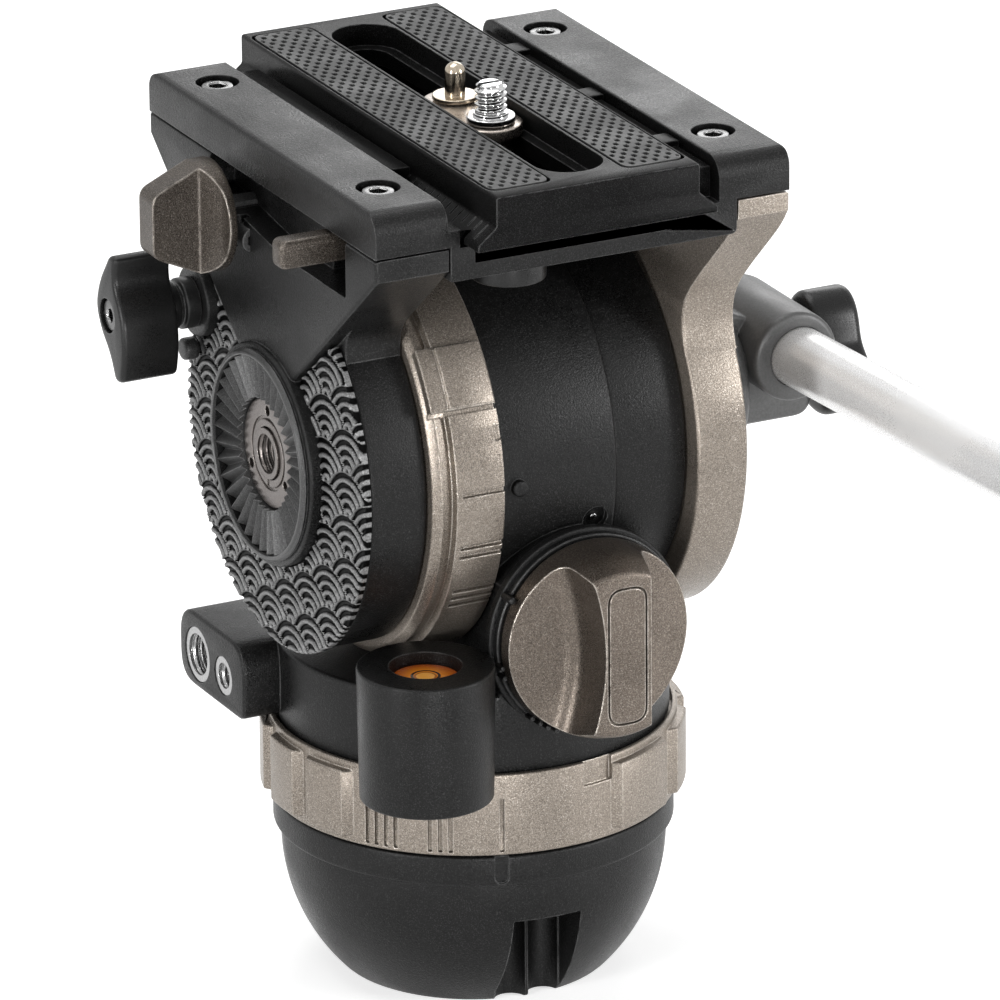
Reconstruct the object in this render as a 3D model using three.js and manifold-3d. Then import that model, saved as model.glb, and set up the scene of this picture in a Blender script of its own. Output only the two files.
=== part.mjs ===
// Fluid video head on a 75 mm half ball, in millimetres, +Z up.
// The origin is the centre of the half ball. +X is the side of the silver arm, -Y is the operator's side.
// The tilting parts are modelled about the tilt axis, which is their group's own origin.
import * as THREE from "three";
import { mergeVertices } from "three/addons/utils/BufferGeometryUtils.js";
import Module from "manifold-3d";

const wasm = await Module();
wasm.setup();

// Fits shared by every piece
const seatGap = 0.3; // between a piece and the seat that holds it
const runGap = 0.2; // around a shaft that turns in its bearing
const overrun = 2; // how far a cutting tool runs past a face
const breakEdge = 0.5; // the edge break of a piece that names none of its own

// Facets of a full circle
const fineSides = 24;
const midSides = 16;
const gripSides = 12;
const smallSides = 8;
const pinSides = 4;

// Segments of one curve in an outline: an arc takes twice as many
const curveSteps = 4;
const lugSteps = 1;
const knobSteps = 2;
const lobeSteps = 8;

const degree = Math.PI / 180;

// Half ball that sits in the tripod bowl
const ball = {
  radius: 37.5,
  flatZ: -26.4,
  bandRadius: 39,
  bandLowZ: 2,
  topZ: 8.3,
  edge: 0.5,
  seatRadius: 24,
  seatZ: 2,
  spindleBore: 8.3,
  spindleFloorZ: -10,
  threadBore: 6.5,
};
const ballArcSteps = 4;
const ballPocket = { x: -2.2, width: 14, topZ: -6.2, backY: -27, fluteRadius: 3, fluteInset: 3.6 };
const ballMark = { angle: -108.4 * degree, width: 2.6, lowZ: 3.2, depth: 0.6 };

// Spindle that carries the head on the ball
const spindle = {
  flangeThick: 2.8,
  shaftRadius: 9,
  shaftTopZ: 35.5,
  threadRadius: 6,
  threadTopZ: 40.6,
};
spindle.flangeRadius = ball.seatRadius - 2 * seatGap;
const spindleNut = { acrossFlats: 17, height: 3.6 };
const spindleScrew = { circle: 17, count: 3, headRadius: 3, headHeight: 1.4, shankRadius: 1.8, length: 7 };
const threadInsert = { wall: 1.5, length: 13 };
const panBearing = { radius: 15, height: 2.8 };

// Cast body: base, level post, accessory block, dial seat, pedestal and drum
const base = { radius: 38.2, wall: 9.2, lowZ: 24.4, topZ: 41.2, edge: 0.8, cavityTopZ: 32.4 };
base.cavityRadius = base.radius - base.wall;
const spindleHole = { radius: 9.4, chamberRadius: 10.6, chamberLowZ: 35.2, chamberTopZ: 42.4 };
const tiltAxisZ = 83.8;
const drum = { radius: 38.7, leftX: -13, rightX: 12, bore: 30, edge: 0.6, floorX: 8.6 };
const drumNub = { x: -9.1, rise: 1.4, radius: 1.6 };
const drumRecess = { x: 7.8, angle: 194.5 * degree, radius: 2.6, depth: 1.2, pinRadius: 1 };
const pedestal = { halfDepth: 27, rightX: 26.6, flare: 4, flareZ: 52 };
const drumCap = { radius: 37.9, rightX: 27.1, wall: 4, faceThick: 2.6, edge: 0.6 };
const dragCartridge = { radius: 29.7, leftX: -12.4, capThick: 4, capRadius: 26 };
const coilSpring = { meanRadius: 17, wireRadius: 1.1, turns: 3, pitch: 3.1, stepsPerTurn: 10, wireSides: 4 };
const tiltShaft = { radius: 8, leftX: -34.4, rightX: 35.4 };
const tiltBearing = { radius: 12, width: 2.4 };

// Level post and its vial, standing off the base by a named gap
const post = {
  angle: -126.12 * degree,
  stand: 13.54,
  radius: 13.2,
  footRadius: 12.8,
  lowZ: 26.2,
  topZ: 52.7,
  edge: 0.5,
  neckWidth: 17,
};
post.x = (base.radius + post.stand) * Math.cos(post.angle);
post.y = (base.radius + post.stand) * Math.sin(post.angle);
const vial = { seatRadius: 7, seatDepth: 3.4, radius: 6.6, height: 2.6, domeRise: 0.5 };

// Accessory block on the left of the base, with its two threads
const block = {
  proud: 7,
  nearY: 8,
  farY: 37,
  lowZ: 26,
  corner: 6,
  lowCorner: 3,
  edge: 0.6,
};
block.faceX = -base.radius - block.proud;
block.rootX = -base.cavityRadius;
const largeThread = { y: 29, z: 33, radius: 4.7 };
const smallThread = { y: 17.3, z: 32.6, radius: 3.1 };
const blockInsert = { wall: 0.8, depth: 11, inset: 0.2 };

// Counterbalance dial on the operator's side and the seat behind it
const dialSeat = {
  proud: 3.4,
  halfWidth: 15.5,
  topZ: 56,
  bossRadius: 20.4,
  bezelThick: 2,
  bossDepth: 21.6,
  boreRadius: 4.4,
};
dialSeat.frontY = -base.radius - dialSeat.proud;
dialSeat.rootY = dialSeat.frontY + dialSeat.bossDepth;
const dial = { x: 3.5, z: 53.9, radius: 19.1, backGap: 0.8, shoulder: 9.1, height: 15.1 };
dial.backY = dialSeat.frontY - dial.backGap;
dial.shoulderY = dial.backY - dial.shoulder;
dial.faceY = dial.backY - dial.height;
const dialShares = { shoulderShare: 0.975, edgeShare: 0.86, faceShare: 0.6 };
const dialRim = { edgeRise: 4.4, faceRise: 0.4 };
const dialScoop = { radius: 14, offset: 19.7, proud: 3 };
const dialInset = { width: 8.4, length: 28, depth: 0.5, line: 0.5 };
const dialShaft = { radius: 4, length: 18.4 };

// Pan drag ring round the foot of the base, with its finger lugs, notch and engraved scale
const panRing = { lowZ: 8.9, topZ: 25.5, wall: 5.1, edge: 0.5, lipGap: 0.5, lipWall: 1, lipDepth: 1.5 };
panRing.lipRadius = base.radius + panRing.lipGap;
panRing.radius = panRing.lipRadius + panRing.lipWall;
panRing.bore = panRing.radius - panRing.wall;
const panLug = { rise: 1.7, lowZ: 10.4, flank: 3 * degree };
const panLugs = [
  { angle: -62.3 * degree, half: 13.2 * degree },
  ...Array.from({ length: 9 }, (_, i) => ({ angle: (24 * i - 35.5) * degree, half: 11 * degree })),
  { angle: 179.6 * degree, half: 9.6 * degree },
  { angle: 199.4 * degree, half: 9.7 * degree },
];
const panNotch = { start: -84 * degree, end: -74.4 * degree, lowZ: 20.6, depth: 0.8 };
const scaleLine = { width: 0.8, pitch: 2, depth: 0.4, lowZ: 9.6, topZ: 20.5 };
const panScale = [
  { lines: 4, angle: -142.8 * degree },
  { lines: 3, angle: -125.6 * degree },
  { lines: 1, angle: -108.4 * degree },
];
const panCartridge = { lowZ: 9.2, topZ: 32, lidThick: 3 };
panCartridge.radius = base.cavityRadius - 2 * seatGap;
const panCam = { lowZ: 11, topZ: 20 };

// Tilt drag ring round the drum
const tiltRing = { leftX: -27.9, rightX: -13.3, radius: 41.9, bore: 34.5, edge: 1.4 };
const tiltLug = { rise: 1.2, angle: 146.5 * degree, sweep: 23 * degree, leftX: -25, rightX: -15.6 };
const tiltLugStep = { rise: 0.5, spread: 3 * degree, width: 0.8 };
const tiltDent = { angle: 162.9 * degree, radius: 1.5, depth: 0.7, inset: 0.9 };
const tiltScale = [
  { lines: 1, angle: 192 * degree },
  { lines: 2, angle: 203 * degree },
  { lines: 3, angle: 214 * degree },
];
const tiltScaleLength = 9;
const tiltCam = { wall: 3.6, leftX: -26, rightX: -13.6 };
tiltCam.radius = tiltRing.bore - seatGap;

// Platform over both arms, heights from the tilt axis
const platform = {
  halfWidth: 43.4,
  innerHalf: 28.4,
  nearY: -49,
  farY: 50.5,
  seamZ: 54,
  topZ: 62.5,
  floorLowZ: 47.2,
  floorTopZ: 50.6,
  ledgeInnerX: 22.6,
  stepX: 25.7,
  stepZ: 57.4,
  edge: 1.3,
  endRound: 5,
};

// Black arm on the left: the hub, the proud V-shaped skin, and what is set in its face
const arm = {
  innerX: -28.2,
  shoulderZ: 49.5,
  vFootY: 8,
  vFootZ: 15,
  waistY: 28,
  waistZ: 31.5,
  edge: 1,
};
arm.outerX = -platform.halfWidth;
arm.nearY = platform.nearY;
arm.farY = platform.farY;
arm.seamZ = platform.seamZ - seatGap;
const hub = { radius: 38.5, faceX: -39.8, shaftBore: tiltShaft.radius + seatGap, shaftFloorX: -34.7 };
const boss = { radius: 21.8, faceX: -44.4, rimX: -45.4, rimRadius: 20.4 };
const rosette = { radius: 19.4, bore: 11, seatX: -42, rootX: -43.4, tipX: -45.2, teeth: 28 };
const hubPlate = {
  radius: 10.7,
  faceX: -43,
  backX: -40.6,
  pinCircle: 7.7,
  pinRadius: 0.8,
  pinDepth: 1.2,
  pins: 3,
};
const hubThread = { radius: 3.4, outerRadius: 5, faceX: -43.4, backX: -36.6 };
const armWindow = {
  nearY: -36,
  farY: 23,
  lowZ: 42.6,
  slantY: -8,
  slantZ: 47,
  floorX: -38.2,
  deepX: -32.6,
  deepNearY: -30.6,
  deepFarY: -20,
};
const lockLug = { y: 31, z: 21.2, radius: 7, faceX: -44, rootX: -31 };
const cover = { radius: 39.1, backX: hub.faceX - seatGap, faceX: -42.4, rimFaceX: -41.7, edge: 0.5 };
cover.inner = boss.radius + seatGap;
const stopScrew = {
  y: 33.4,
  z: 10.8,
  radius: 2.2,
  neckRadius: 1.5,
  stemRadius: 1.1,
  rise: 2.6,
  crown: 1.1,
  length: 5.2,
};

// Silver arm on the right: a disc under an S-shaped flare
const silver = {
  innerX: 27.5,
  outerX: 38.3,
  discRadius: 42,
  neckY: 33.4,
  neckZ: 27,
  neckRound: 8,
  shoulderZ: 50,
  topInnerX: 32.5,
  bendLowZ: 33,
  bendHighZ: 48,
  lowRound: 6,
  highRound: 4,
  edge: 1,
};
const armRosette = { radius: 16.4, bore: 8, seatX: 37.7, rootX: 39, tipX: 39.9, teeth: 16 };
const clampRosette = { radius: 16.2, bore: 8, seatX: 41.9, rootX: 40, tipX: 40.9, teeth: 16 };

const capScrew = {
  x: 35.2,
  nearY: -33.4,
  farY: 36.7,
  headRadius: 3.3,
  headHeight: 3.4,
  sink: 0.5,
  shankRadius: 1.9,
  length: 15,
  hex: 2.9,
  hexDepth: 1.8,
};
const floorBoss = { x: -10, y: -37, radius: 7.2, height: 4.9 };
const fixedJaw = { nearY: -46, farY: 47, lugs: 3, lugRise: 1.2, topZ: 60.4 };
const fixedJawLugShare = 0.16;
const movingJaw = {
  nearY: -20,
  farY: 46,
  legHalf: 6.5,
  legLowZ: 39,
  legX: -32.2,
  legInnerX: -28.6,
  travel: 1.5,
};

// Camera plate and what stands in its slot
const plate = {
  halfWidth: 21.3,
  baseHalf: 25.1,
  nearY: -54.9,
  farY: 55.6,
  topZ: 64.6,
  slabZ: 58.8,
  wingZ: 55.7,
  lowZ: platform.seamZ + seatGap,
  edge: 0.6,
};
const slot = {
  halfWidth: 6.9,
  nearY: -48.5,
  farY: 50.3,
  ledge: 2.3,
  ledgeTopZ: 60.2,
  ledgeLowZ: 57,
  channelHalf: 6,
};
const pad = {
  innerX: 7.9,
  outerX: 20.2,
  nearY: -50.6,
  farY: 52.9,
  depth: 1.4,
  proud: 0.1,
  corner: 2.4,
  gap: 0.35,
};
const carriage = {
  halfWidth: 6.4,
  nearY: -15.8,
  farY: 11.5,
  topZ: 62.8,
  stemHalf: 4.2,
  footHalf: 5.4,
  footThick: 1.6,
};
const locatePin = {
  y: 5.2,
  washerRadius: 4.4,
  washerHeight: 0.8,
  radius: 2.15,
  height: 8.2,
  dome: 2.1,
  domeSteps: 3,
};
const cameraScrew = {
  y: -10,
  knurlRadius: 5.4,
  knurlHeight: 1.3,
  collarRadius: 3.9,
  collarHeight: 0.9,
  radius: 3.1,
  threadHeight: 6.3,
  lead: 0.6,
  stemLowZ: 55.4,
  slotWidth: 1.1,
  slotDepth: 1.2,
};

// Controls on the left arm
const clampScrew = { radius: 3, endX: -28.8, collarRadius: 5.6, collarFaceX: -45.6 };
const clampKnob = {
  y: 15.6,
  z: 44.2,
  faceGap: 0.6,
  discThick: 3,
  discRadius: 11.4,
  reach: 14.2,
  rootHalf: 10,
  tipHalf: 6.8,
  rootThick: 7,
  creaseThick: 3.6,
  tipThick: 2.8,
};
clampKnob.discX = clampScrew.collarFaceX - clampKnob.faceGap;
movingJaw.topZ = fixedJaw.topZ;
movingJaw.legNearY = clampKnob.y - movingJaw.legHalf;
movingJaw.legFarY = clampKnob.y + movingJaw.legHalf;
const lever = {
  tipX: -53.8,
  pivotX: -36.4,
  pivotY: -27.8,
  thick: 4,
  lowZ: 47.7,
  topZ: 53.4,
  eyeRadius: 2.5,
  pinRadius: 1.5,
  corner: 1.4,
  edge: 0.45,
};
const lockKnob = {
  backX: -50,
  length: 12,
  halfWidth: 6.2,
  halfHeight: 12.6,
  neckRadius: 5,
  screwRadius: 3.1,
  screwInset: 0.6,
  headHeight: 3,
  seatDepth: 4,
  hex: 2.6,
  hexDepth: 2,
};

// Pan handle on the silver arm's rosette
const clamp = {
  hubRightX: 53,
  socketX: 62,
  socketZ: 7.2,
  socketRadius: 9,
  socketNearY: -17,
  socketFarY: 9.5,
  faceX: 70,
  webHalf: 8.6,
  webRound: 4,
  edge: 1,
};
const tube = { radius: 6, startY: -7.6, splay: 4 * degree, length: 235, wall: 1.2 };
const grip = {
  radius: 12.5,
  neckRadius: 9.8,
  waistRadius: 11,
  capRadius: 6.9,
  length: 108,
  ribs: 3,
  ribDepth: 0.9,
  ribPitch: 9,
  endRound: 4,
};
const handleBolt = { radius: 3.5, depth: 2 };
const handleKnob = { gap: 1.4, length: 11, lobeRadius: 13.6, rootRadius: 8.4, lobes: 3, edge: 1.2 };

// Pan lock on the hidden front of the base
const panLock = { angle: 75 * degree, z: 33, gap: 2.2, neckLength: 2.6, length: 11, neckRadius: 4.6 };
panLock.stemInner = base.cavityRadius + overrun;
panLock.neckStart = base.radius + panLock.gap;
panLock.wingStart = panLock.neckStart + panLock.neckLength;

// A closed three.js geometry as a solid for joining and cutting. Its outside is made to face out first.
function toSolid(geometry) {
  const bare = new THREE.BufferGeometry();
  bare.setAttribute("position", geometry.getAttribute("position").clone());
  if (geometry.index) bare.setIndex(geometry.index.clone());
  const merged = mergeVertices(bare);
  const places = merged.getAttribute("position").array;
  const triangles = [];
  const index = merged.index.array;
  for (let i = 0; i < index.length; i += 3) {
    const [a, b, c] = [index[i], index[i + 1], index[i + 2]];
    if (a !== b && b !== c && c !== a) triangles.push(a, b, c);
  }
  const signedVolume = volumeOf(places, triangles);
  if (signedVolume < 0) triangles.reverse();
  const mesh = new wasm.Mesh({
    numProp: 3,
    vertProperties: Float32Array.from(places),
    triVerts: Uint32Array.from(triangles),
  });
  return new wasm.Manifold(mesh);
}

// Six times the signed volume of a triangle mesh: positive when its faces point out
function volumeOf(places, triangles) {
  const corner = (i) => new THREE.Vector3().fromArray(places, i * 3);
  let sum = 0;
  for (let i = 0; i < triangles.length; i += 3) {
    const [a, b, c] = [corner(triangles[i]), corner(triangles[i + 1]), corner(triangles[i + 2])];
    sum += a.dot(b.cross(c));
  }
  return sum;
}

function toGeometry(solid) {
  const mesh = solid.getMesh();
  const geometry = new THREE.BufferGeometry();
  const places = new Float32Array(mesh.numVert * 3);
  for (let i = 0; i < mesh.numVert; i += 1) {
    for (let k = 0; k < 3; k += 1) places[i * 3 + k] = mesh.vertProperties[i * mesh.numProp + k];
  }
  geometry.setAttribute("position", new THREE.BufferAttribute(places, 3));
  geometry.setIndex(new THREE.BufferAttribute(new Uint32Array(mesh.triVerts), 1));
  return geometry;
}

function join(first, ...rest) {
  return toGeometry(rest.reduce((sum, one) => sum.add(toSolid(one)), toSolid(first)));
}

function cut(first, ...rest) {
  return toGeometry(rest.reduce((left, one) => left.subtract(toSolid(one)), toSolid(first)));
}

function meet(first, second) {
  return toGeometry(toSolid(first).intersect(toSolid(second)));
}

// Turns a geometry made about +Y so that its axis lies along +X, +Y or +Z
function alongAxis(geometry, axis) {
  if (axis === "z") geometry.rotateX(Math.PI / 2);
  if (axis === "x") geometry.rotateZ(-Math.PI / 2);
  return geometry;
}

// A body of revolution from [radius, height] points that start and end on the axis or close on themselves
function revolve(points, axis = "z", facets = midSides) {
  const profile = points.map(([radius, height]) => new THREE.Vector2(radius, height));
  return alongAxis(new THREE.LatheGeometry(profile, facets), axis);
}

// The outer corners of a round section from one height to another, chamfered by an edge if one is given
function rimCorners(radius, from, to, edge) {
  if (edge === 0) return [[radius, from], [radius, to]];
  return [[radius - edge, from], [radius, from + edge], [radius, to - edge], [radius - edge, to]];
}

// A round bar between two heights on its axis
function bar(radius, from, to, axis = "z", facets = smallSides, edge = 0) {
  return revolve([[0, from], ...rimCorners(radius, from, to, edge), [0, to]], axis, facets);
}

// A ring of rectangular section
function ring(inner, outer, from, to, axis = "z", facets = midSides, edge = 0) {
  const section = [[inner, from], ...rimCorners(outer, from, to, edge), [inner, to], [inner, from]];
  return revolve(section, axis, facets);
}

// A closed outline through [x, y, round] corners: a corner with a round is drawn as a curve
function outline(corners) {
  const shape = new THREE.Shape();
  corners.forEach(([x, y, round = 0], i) => {
    const before = corners[(i + corners.length - 1) % corners.length];
    const after = corners[(i + 1) % corners.length];
    const reach = (other) => {
      const [dx, dy] = [other[0] - x, other[1] - y];
      const length = Math.hypot(dx, dy);
      return [x + (dx / length) * round, y + (dy / length) * round];
    };
    const [inX, inY] = reach(before);
    const [outX, outY] = reach(after);
    if (i === 0) shape.moveTo(inX, inY);
    else shape.lineTo(inX, inY);
    if (round > 0) shape.quadraticCurveTo(x, y, outX, outY);
  });
  shape.closePath();
  return shape;
}

function roundedRectangle(x0, y0, x1, y1, round) {
  return outline([
    [x0, y0, round],
    [x1, y0, round],
    [x1, y1, round],
    [x0, y1, round],
  ]);
}

// A slot outline along +Y with round ends
function obround(halfWidth, nearY, farY, x = 0) {
  const shape = new THREE.Shape();
  shape.absarc(x, nearY + halfWidth, halfWidth, Math.PI, 2 * Math.PI, false);
  shape.absarc(x, farY - halfWidth, halfWidth, 0, Math.PI, false);
  shape.closePath();
  return shape;
}

// An outline given depth along one axis. It lies in XY for "z", in YZ for "x" and in XZ for "y".
function prism(shape, from, to, axis = "z", edge = 0, curveSegments = curveSteps) {
  const depth = Math.abs(to - from);
  const low = Math.min(from, to);
  const geometry = new THREE.ExtrudeGeometry(shape, {
    depth: depth - 2 * edge,
    bevelEnabled: edge > 0,
    bevelThickness: edge,
    bevelSize: edge,
    bevelOffset: -edge,
    bevelSegments: 1,
    curveSegments,
  });
  geometry.translate(0, 0, edge);
  const [x, y, z] = [new THREE.Vector3(1, 0, 0), new THREE.Vector3(0, 1, 0), new THREE.Vector3(0, 0, 1)];
  if (axis === "z") return geometry.translate(0, 0, low);
  if (axis === "x") return geometry.applyMatrix4(new THREE.Matrix4().makeBasis(y, z, x)).translate(low, 0, 0);
  const turned = new THREE.Matrix4().makeBasis(x, z, y.clone().negate());
  return geometry.applyMatrix4(turned).translate(0, low + depth, 0);
}

function box(x0, x1, y0, y1, z0, z1) {
  const geometry = new THREE.BoxGeometry(x1 - x0, y1 - y0, z1 - z0);
  return geometry.translate((x0 + x1) / 2, (y0 + y1) / 2, (z0 + z1) / 2);
}

// A skin over closed rings of points that have one count, with a flat fan at each end
function loft(rings) {
  const count = rings[0].length;
  const places = rings.flat();
  const triangles = [];
  for (let i = 0; i < rings.length - 1; i += 1) {
    for (let k = 0; k < count; k += 1) {
      const [a, b] = [i * count + k, i * count + ((k + 1) % count)];
      triangles.push(a, b, b + count, a, b + count, a + count);
    }
  }
  for (const [first, turn] of [
    [0, 1],
    [(rings.length - 1) * count, -1],
  ]) {
    const end = places.slice(first, first + count);
    const centre = end.reduce((sum, point) => sum.map((value, k) => value + point[k] / count), [0, 0, 0]);
    const hubIndex = places.push(centre) - 1;
    for (let k = 0; k < count; k += 1) {
      const pair = [first + k, first + ((k + 1) % count)];
      triangles.push(hubIndex, ...(turn > 0 ? pair.reverse() : pair));
    }
  }
  const geometry = new THREE.BufferGeometry();
  geometry.setAttribute("position", new THREE.Float32BufferAttribute(places.flat(), 3));
  geometry.setIndex(triangles);
  return geometry;
}

// A ring of radial V teeth about +X: the teeth grow from nothing at the axis, so that two of them mesh
function toothedRing({ bore, radius, seatX, rootX, tipX, teeth }) {
  const places = [];
  const triangles = [];
  const steps = teeth * 2;
  for (let i = 0; i < steps; i += 1) {
    const angle = (i / steps) * 2 * Math.PI;
    const [c, s] = [Math.cos(angle), Math.sin(angle)];
    const crest = i % 2;
    for (const r of [bore, radius]) {
      places.push([seatX, r * c, r * s]);
      places.push([rootX + crest * (tipX - rootX) * (r / radius), r * c, r * s]);
    }
  }
  for (let i = 0; i < steps; i += 1) {
    const a = i * 4;
    const b = ((i + 1) % steps) * 4;
    const quad = (p, q, r, s) => triangles.push(p, q, r, p, r, s);
    quad(a, a + 2, b + 2, b); // seat
    quad(a + 1, b + 1, b + 3, a + 3); // teeth
    quad(a, b, b + 1, a + 1); // bore
    quad(a + 2, a + 3, b + 3, b + 2); // rim
  }
  const geometry = new THREE.BufferGeometry();
  geometry.setAttribute("position", new THREE.Float32BufferAttribute(places.flat(), 3));
  geometry.setIndex(triangles);
  return toGeometry(toSolid(geometry));
}

function hexagon(acrossFlats) {
  const corner = acrossFlats / Math.sqrt(3);
  const shape = new THREE.Shape();
  for (let i = 0; i < 6; i += 1) {
    const angle = (i * Math.PI) / 3;
    const [x, y] = [corner * Math.cos(angle), corner * Math.sin(angle)];
    if (i === 0) shape.moveTo(x, y);
    else shape.lineTo(x, y);
  }
  shape.closePath();
  return shape;
}

// A socket-head screw standing on +Z, its head's top at the origin
function socketScrew({ headRadius, headHeight, shankRadius, length, hex, hexDepth }) {
  const body = revolve(
    [
      [0, -length],
      [shankRadius, -length],
      [shankRadius, -headHeight],
      [headRadius, -headHeight],
      [headRadius, 0],
      [0, 0],
    ],
    "z",
    smallSides,
  );
  if (!hex) return body;
  return cut(body, prism(hexagon(hex), -hexDepth, overrun));
}

// Finishes
const finish = (color, roughness, metalness, extra = {}) =>
  new THREE.MeshStandardMaterial({ color, roughness, metalness, flatShading: true, ...extra });
const blackCasting = finish(0x1b1b1c, 0.55, 0.3);
const blackAnodised = finish(0x151516, 0.4, 0.5);
const champagne = finish(0x9a9085, 0.42, 0.75);
const darkGrey = finish(0x4a4b4d, 0.5, 0.4);
const steel = finish(0xb9b9ba, 0.3, 1);
const chromePlate = finish(0xe2e2e2, 0.12, 1);
const nickel = finish(0xa79f92, 0.35, 0.9);
const brass = finish(0xb99a5c, 0.3, 1);
const blackRubber = finish(0x232323, 0.85, 0);
const amber = finish(0xf08a10, 0.15, 0, { transparent: true, opacity: 0.85 });
const blackPlastic = finish(0x1a1a1b, 0.45, 0);
const handleGrey = finish(0x6d6e70, 0.5, 0.4);
const handleSilver = finish(0xd6d7d9, 0.35, 0.8);

const head = new THREE.Group();
const tilting = new THREE.Group();
tilting.position.z = tiltAxisZ;
head.add(tilting);

function addPiece(name, geometry, material, group = head, place = [0, 0, 0]) {
  geometry.computeVertexNormals();
  const mesh = new THREE.Mesh(geometry, material);
  mesh.name = name;
  mesh.position.set(...place);
  group.add(mesh);
  return mesh;
}

// Half ball: a zone of a sphere under a straight band, bored for the spindle and the tie-down thread
function makeHalfBall() {
  const flatRadius = Math.sqrt(ball.radius ** 2 - ball.flatZ ** 2);
  const lowAngle = Math.asin(ball.flatZ / ball.radius) + ball.edge / ball.radius;
  const highAngle = Math.asin(ball.bandLowZ / ball.radius);
  const profile = [
    [0, ball.flatZ],
    [flatRadius - ball.edge, ball.flatZ],
  ];
  for (let i = 0; i <= ballArcSteps; i += 1) {
    const angle = lowAngle + ((highAngle - lowAngle) * i) / ballArcSteps;
    profile.push([ball.radius * Math.cos(angle), ball.radius * Math.sin(angle)]);
  }
  profile.push(
    [ball.bandRadius - ball.edge, ball.bandLowZ],
    [ball.bandRadius, ball.bandLowZ + ball.edge],
    [ball.bandRadius, ball.topZ - ball.edge],
    [ball.bandRadius - ball.edge, ball.topZ],
    [0, ball.topZ],
  );
  const body = revolve(profile, "z", fineSides);
  const halfPocket = ballPocket.width / 2;
  const pocket = box(
    ballPocket.x - halfPocket,
    ballPocket.x + halfPocket,
    -ball.radius - overrun,
    ballPocket.backY,
    ball.flatZ - overrun,
    ballPocket.topZ,
  );
  const flutes = [-1, 1].map((side) =>
    bar(ballPocket.fluteRadius, ball.flatZ - overrun, ballPocket.topZ).translate(
      ballPocket.x + side * ballPocket.fluteInset,
      ballPocket.backY,
      0,
    ),
  );
  const mark = prism(
    obround(ballMark.width / 2, ballMark.lowZ, ball.topZ + overrun),
    ball.bandRadius - ballMark.depth,
    ball.bandRadius + overrun,
  );
  mark.rotateX(Math.PI / 2).rotateZ(Math.PI);
  mark.rotateZ(ballMark.angle - Math.PI / 2);
  const holeFloorZ = ball.seatZ - spindleScrew.length;
  const holes = spindleScrewPlaces().map(([x, y]) =>
    bar(spindleScrew.shankRadius + seatGap, holeFloorZ, ball.seatZ + overrun).translate(x, y, 0),
  );
  const bores = [
    bar(ball.seatRadius, ball.seatZ, ball.topZ + overrun, "z", midSides),
    bar(ball.spindleBore, ball.spindleFloorZ, ball.topZ, "z", midSides),
    bar(ball.threadBore, ball.flatZ - overrun, ball.topZ),
  ];
  return cut(body, ...bores, pocket, ...flutes, mark, ...holes);
}

function spindleScrewPlaces() {
  return Array.from({ length: spindleScrew.count }, (_, i) => {
    const angle = (i + 0.5) * ((2 * Math.PI) / spindleScrew.count);
    return [spindleScrew.circle * Math.cos(angle), spindleScrew.circle * Math.sin(angle)];
  });
}

const flangeLowZ = ball.seatZ + seatGap;
const flangeTopZ = flangeLowZ + spindle.flangeThick;

function makeSpindle() {
  const body = revolve(
    [
      [0, ball.spindleFloorZ + seatGap],
      [ball.spindleBore - seatGap, ball.spindleFloorZ + seatGap],
      [ball.spindleBore - seatGap, flangeLowZ],
      [spindle.flangeRadius, flangeLowZ],
      [spindle.flangeRadius, flangeTopZ],
      [spindle.shaftRadius, flangeTopZ],
      [spindle.shaftRadius, spindle.shaftTopZ],
      [spindle.threadRadius, spindle.shaftTopZ],
      [spindle.threadRadius, spindle.threadTopZ],
      [0, spindle.threadTopZ],
    ],
    "z",
    midSides,
  );
  const headLow = flangeTopZ - spindleScrew.headHeight - seatGap;
  const tools = spindleScrewPlaces().flatMap(([x, y]) => [
    bar(spindleScrew.shankRadius + seatGap, flangeLowZ - overrun, flangeTopZ + overrun).translate(x, y, 0),
    bar(spindleScrew.headRadius + seatGap, headLow, flangeTopZ + overrun).translate(x, y, 0),
  ]);
  return cut(body, ...tools);
}

function buildBallBase() {
  addPiece("half_ball", makeHalfBall(), blackCasting);
  addPiece("pan_spindle", makeSpindle(), steel);
  spindleScrewPlaces().forEach(([x, y], i) => {
    addPiece(`spindle_screw_${i + 1}`, socketScrew(spindleScrew), steel, head, [x, y, flangeTopZ]);
  });
  const outer = ball.threadBore - seatGap;
  addPiece(
    "tie_down_insert",
    ring(outer - threadInsert.wall, outer, ball.flatZ, ball.flatZ + threadInsert.length, "z", smallSides),
    steel,
  );
  const bearingLow = flangeTopZ + seatGap;
  addPiece(
    "pan_bearing",
    ring(spindle.shaftRadius + runGap, panBearing.radius, bearingLow, bearingLow + panBearing.height),
    steel,
  );
  const nut = cut(
    prism(hexagon(spindleNut.acrossFlats), 0, spindleNut.height),
    bar(spindle.threadRadius + seatGap, -overrun, spindleNut.height + overrun, "z", midSides),
  );
  addPiece("spindle_nut", nut, steel, head, [0, 0, spindle.shaftTopZ + seatGap]);
}

// Plan outline of one finger lug: a raised pad with sloping flanks, rooted in the ring's wall
function lugOutline({ angle, half }) {
  const { radius, wall, edge } = panRing;
  const at = (reach, turn) => [reach * Math.cos(turn), reach * Math.sin(turn)];
  const crest = half - panLug.flank;
  const shape = new THREE.Shape();
  shape.absarc(0, 0, radius + panLug.rise, angle - crest, angle + crest, false);
  shape.lineTo(...at(radius - edge, angle + half));
  shape.absarc(0, 0, radius - wall / 2, angle + half, angle - half, true);
  shape.lineTo(...at(radius - edge, angle - half));
  shape.closePath();
  return shape;
}

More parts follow.
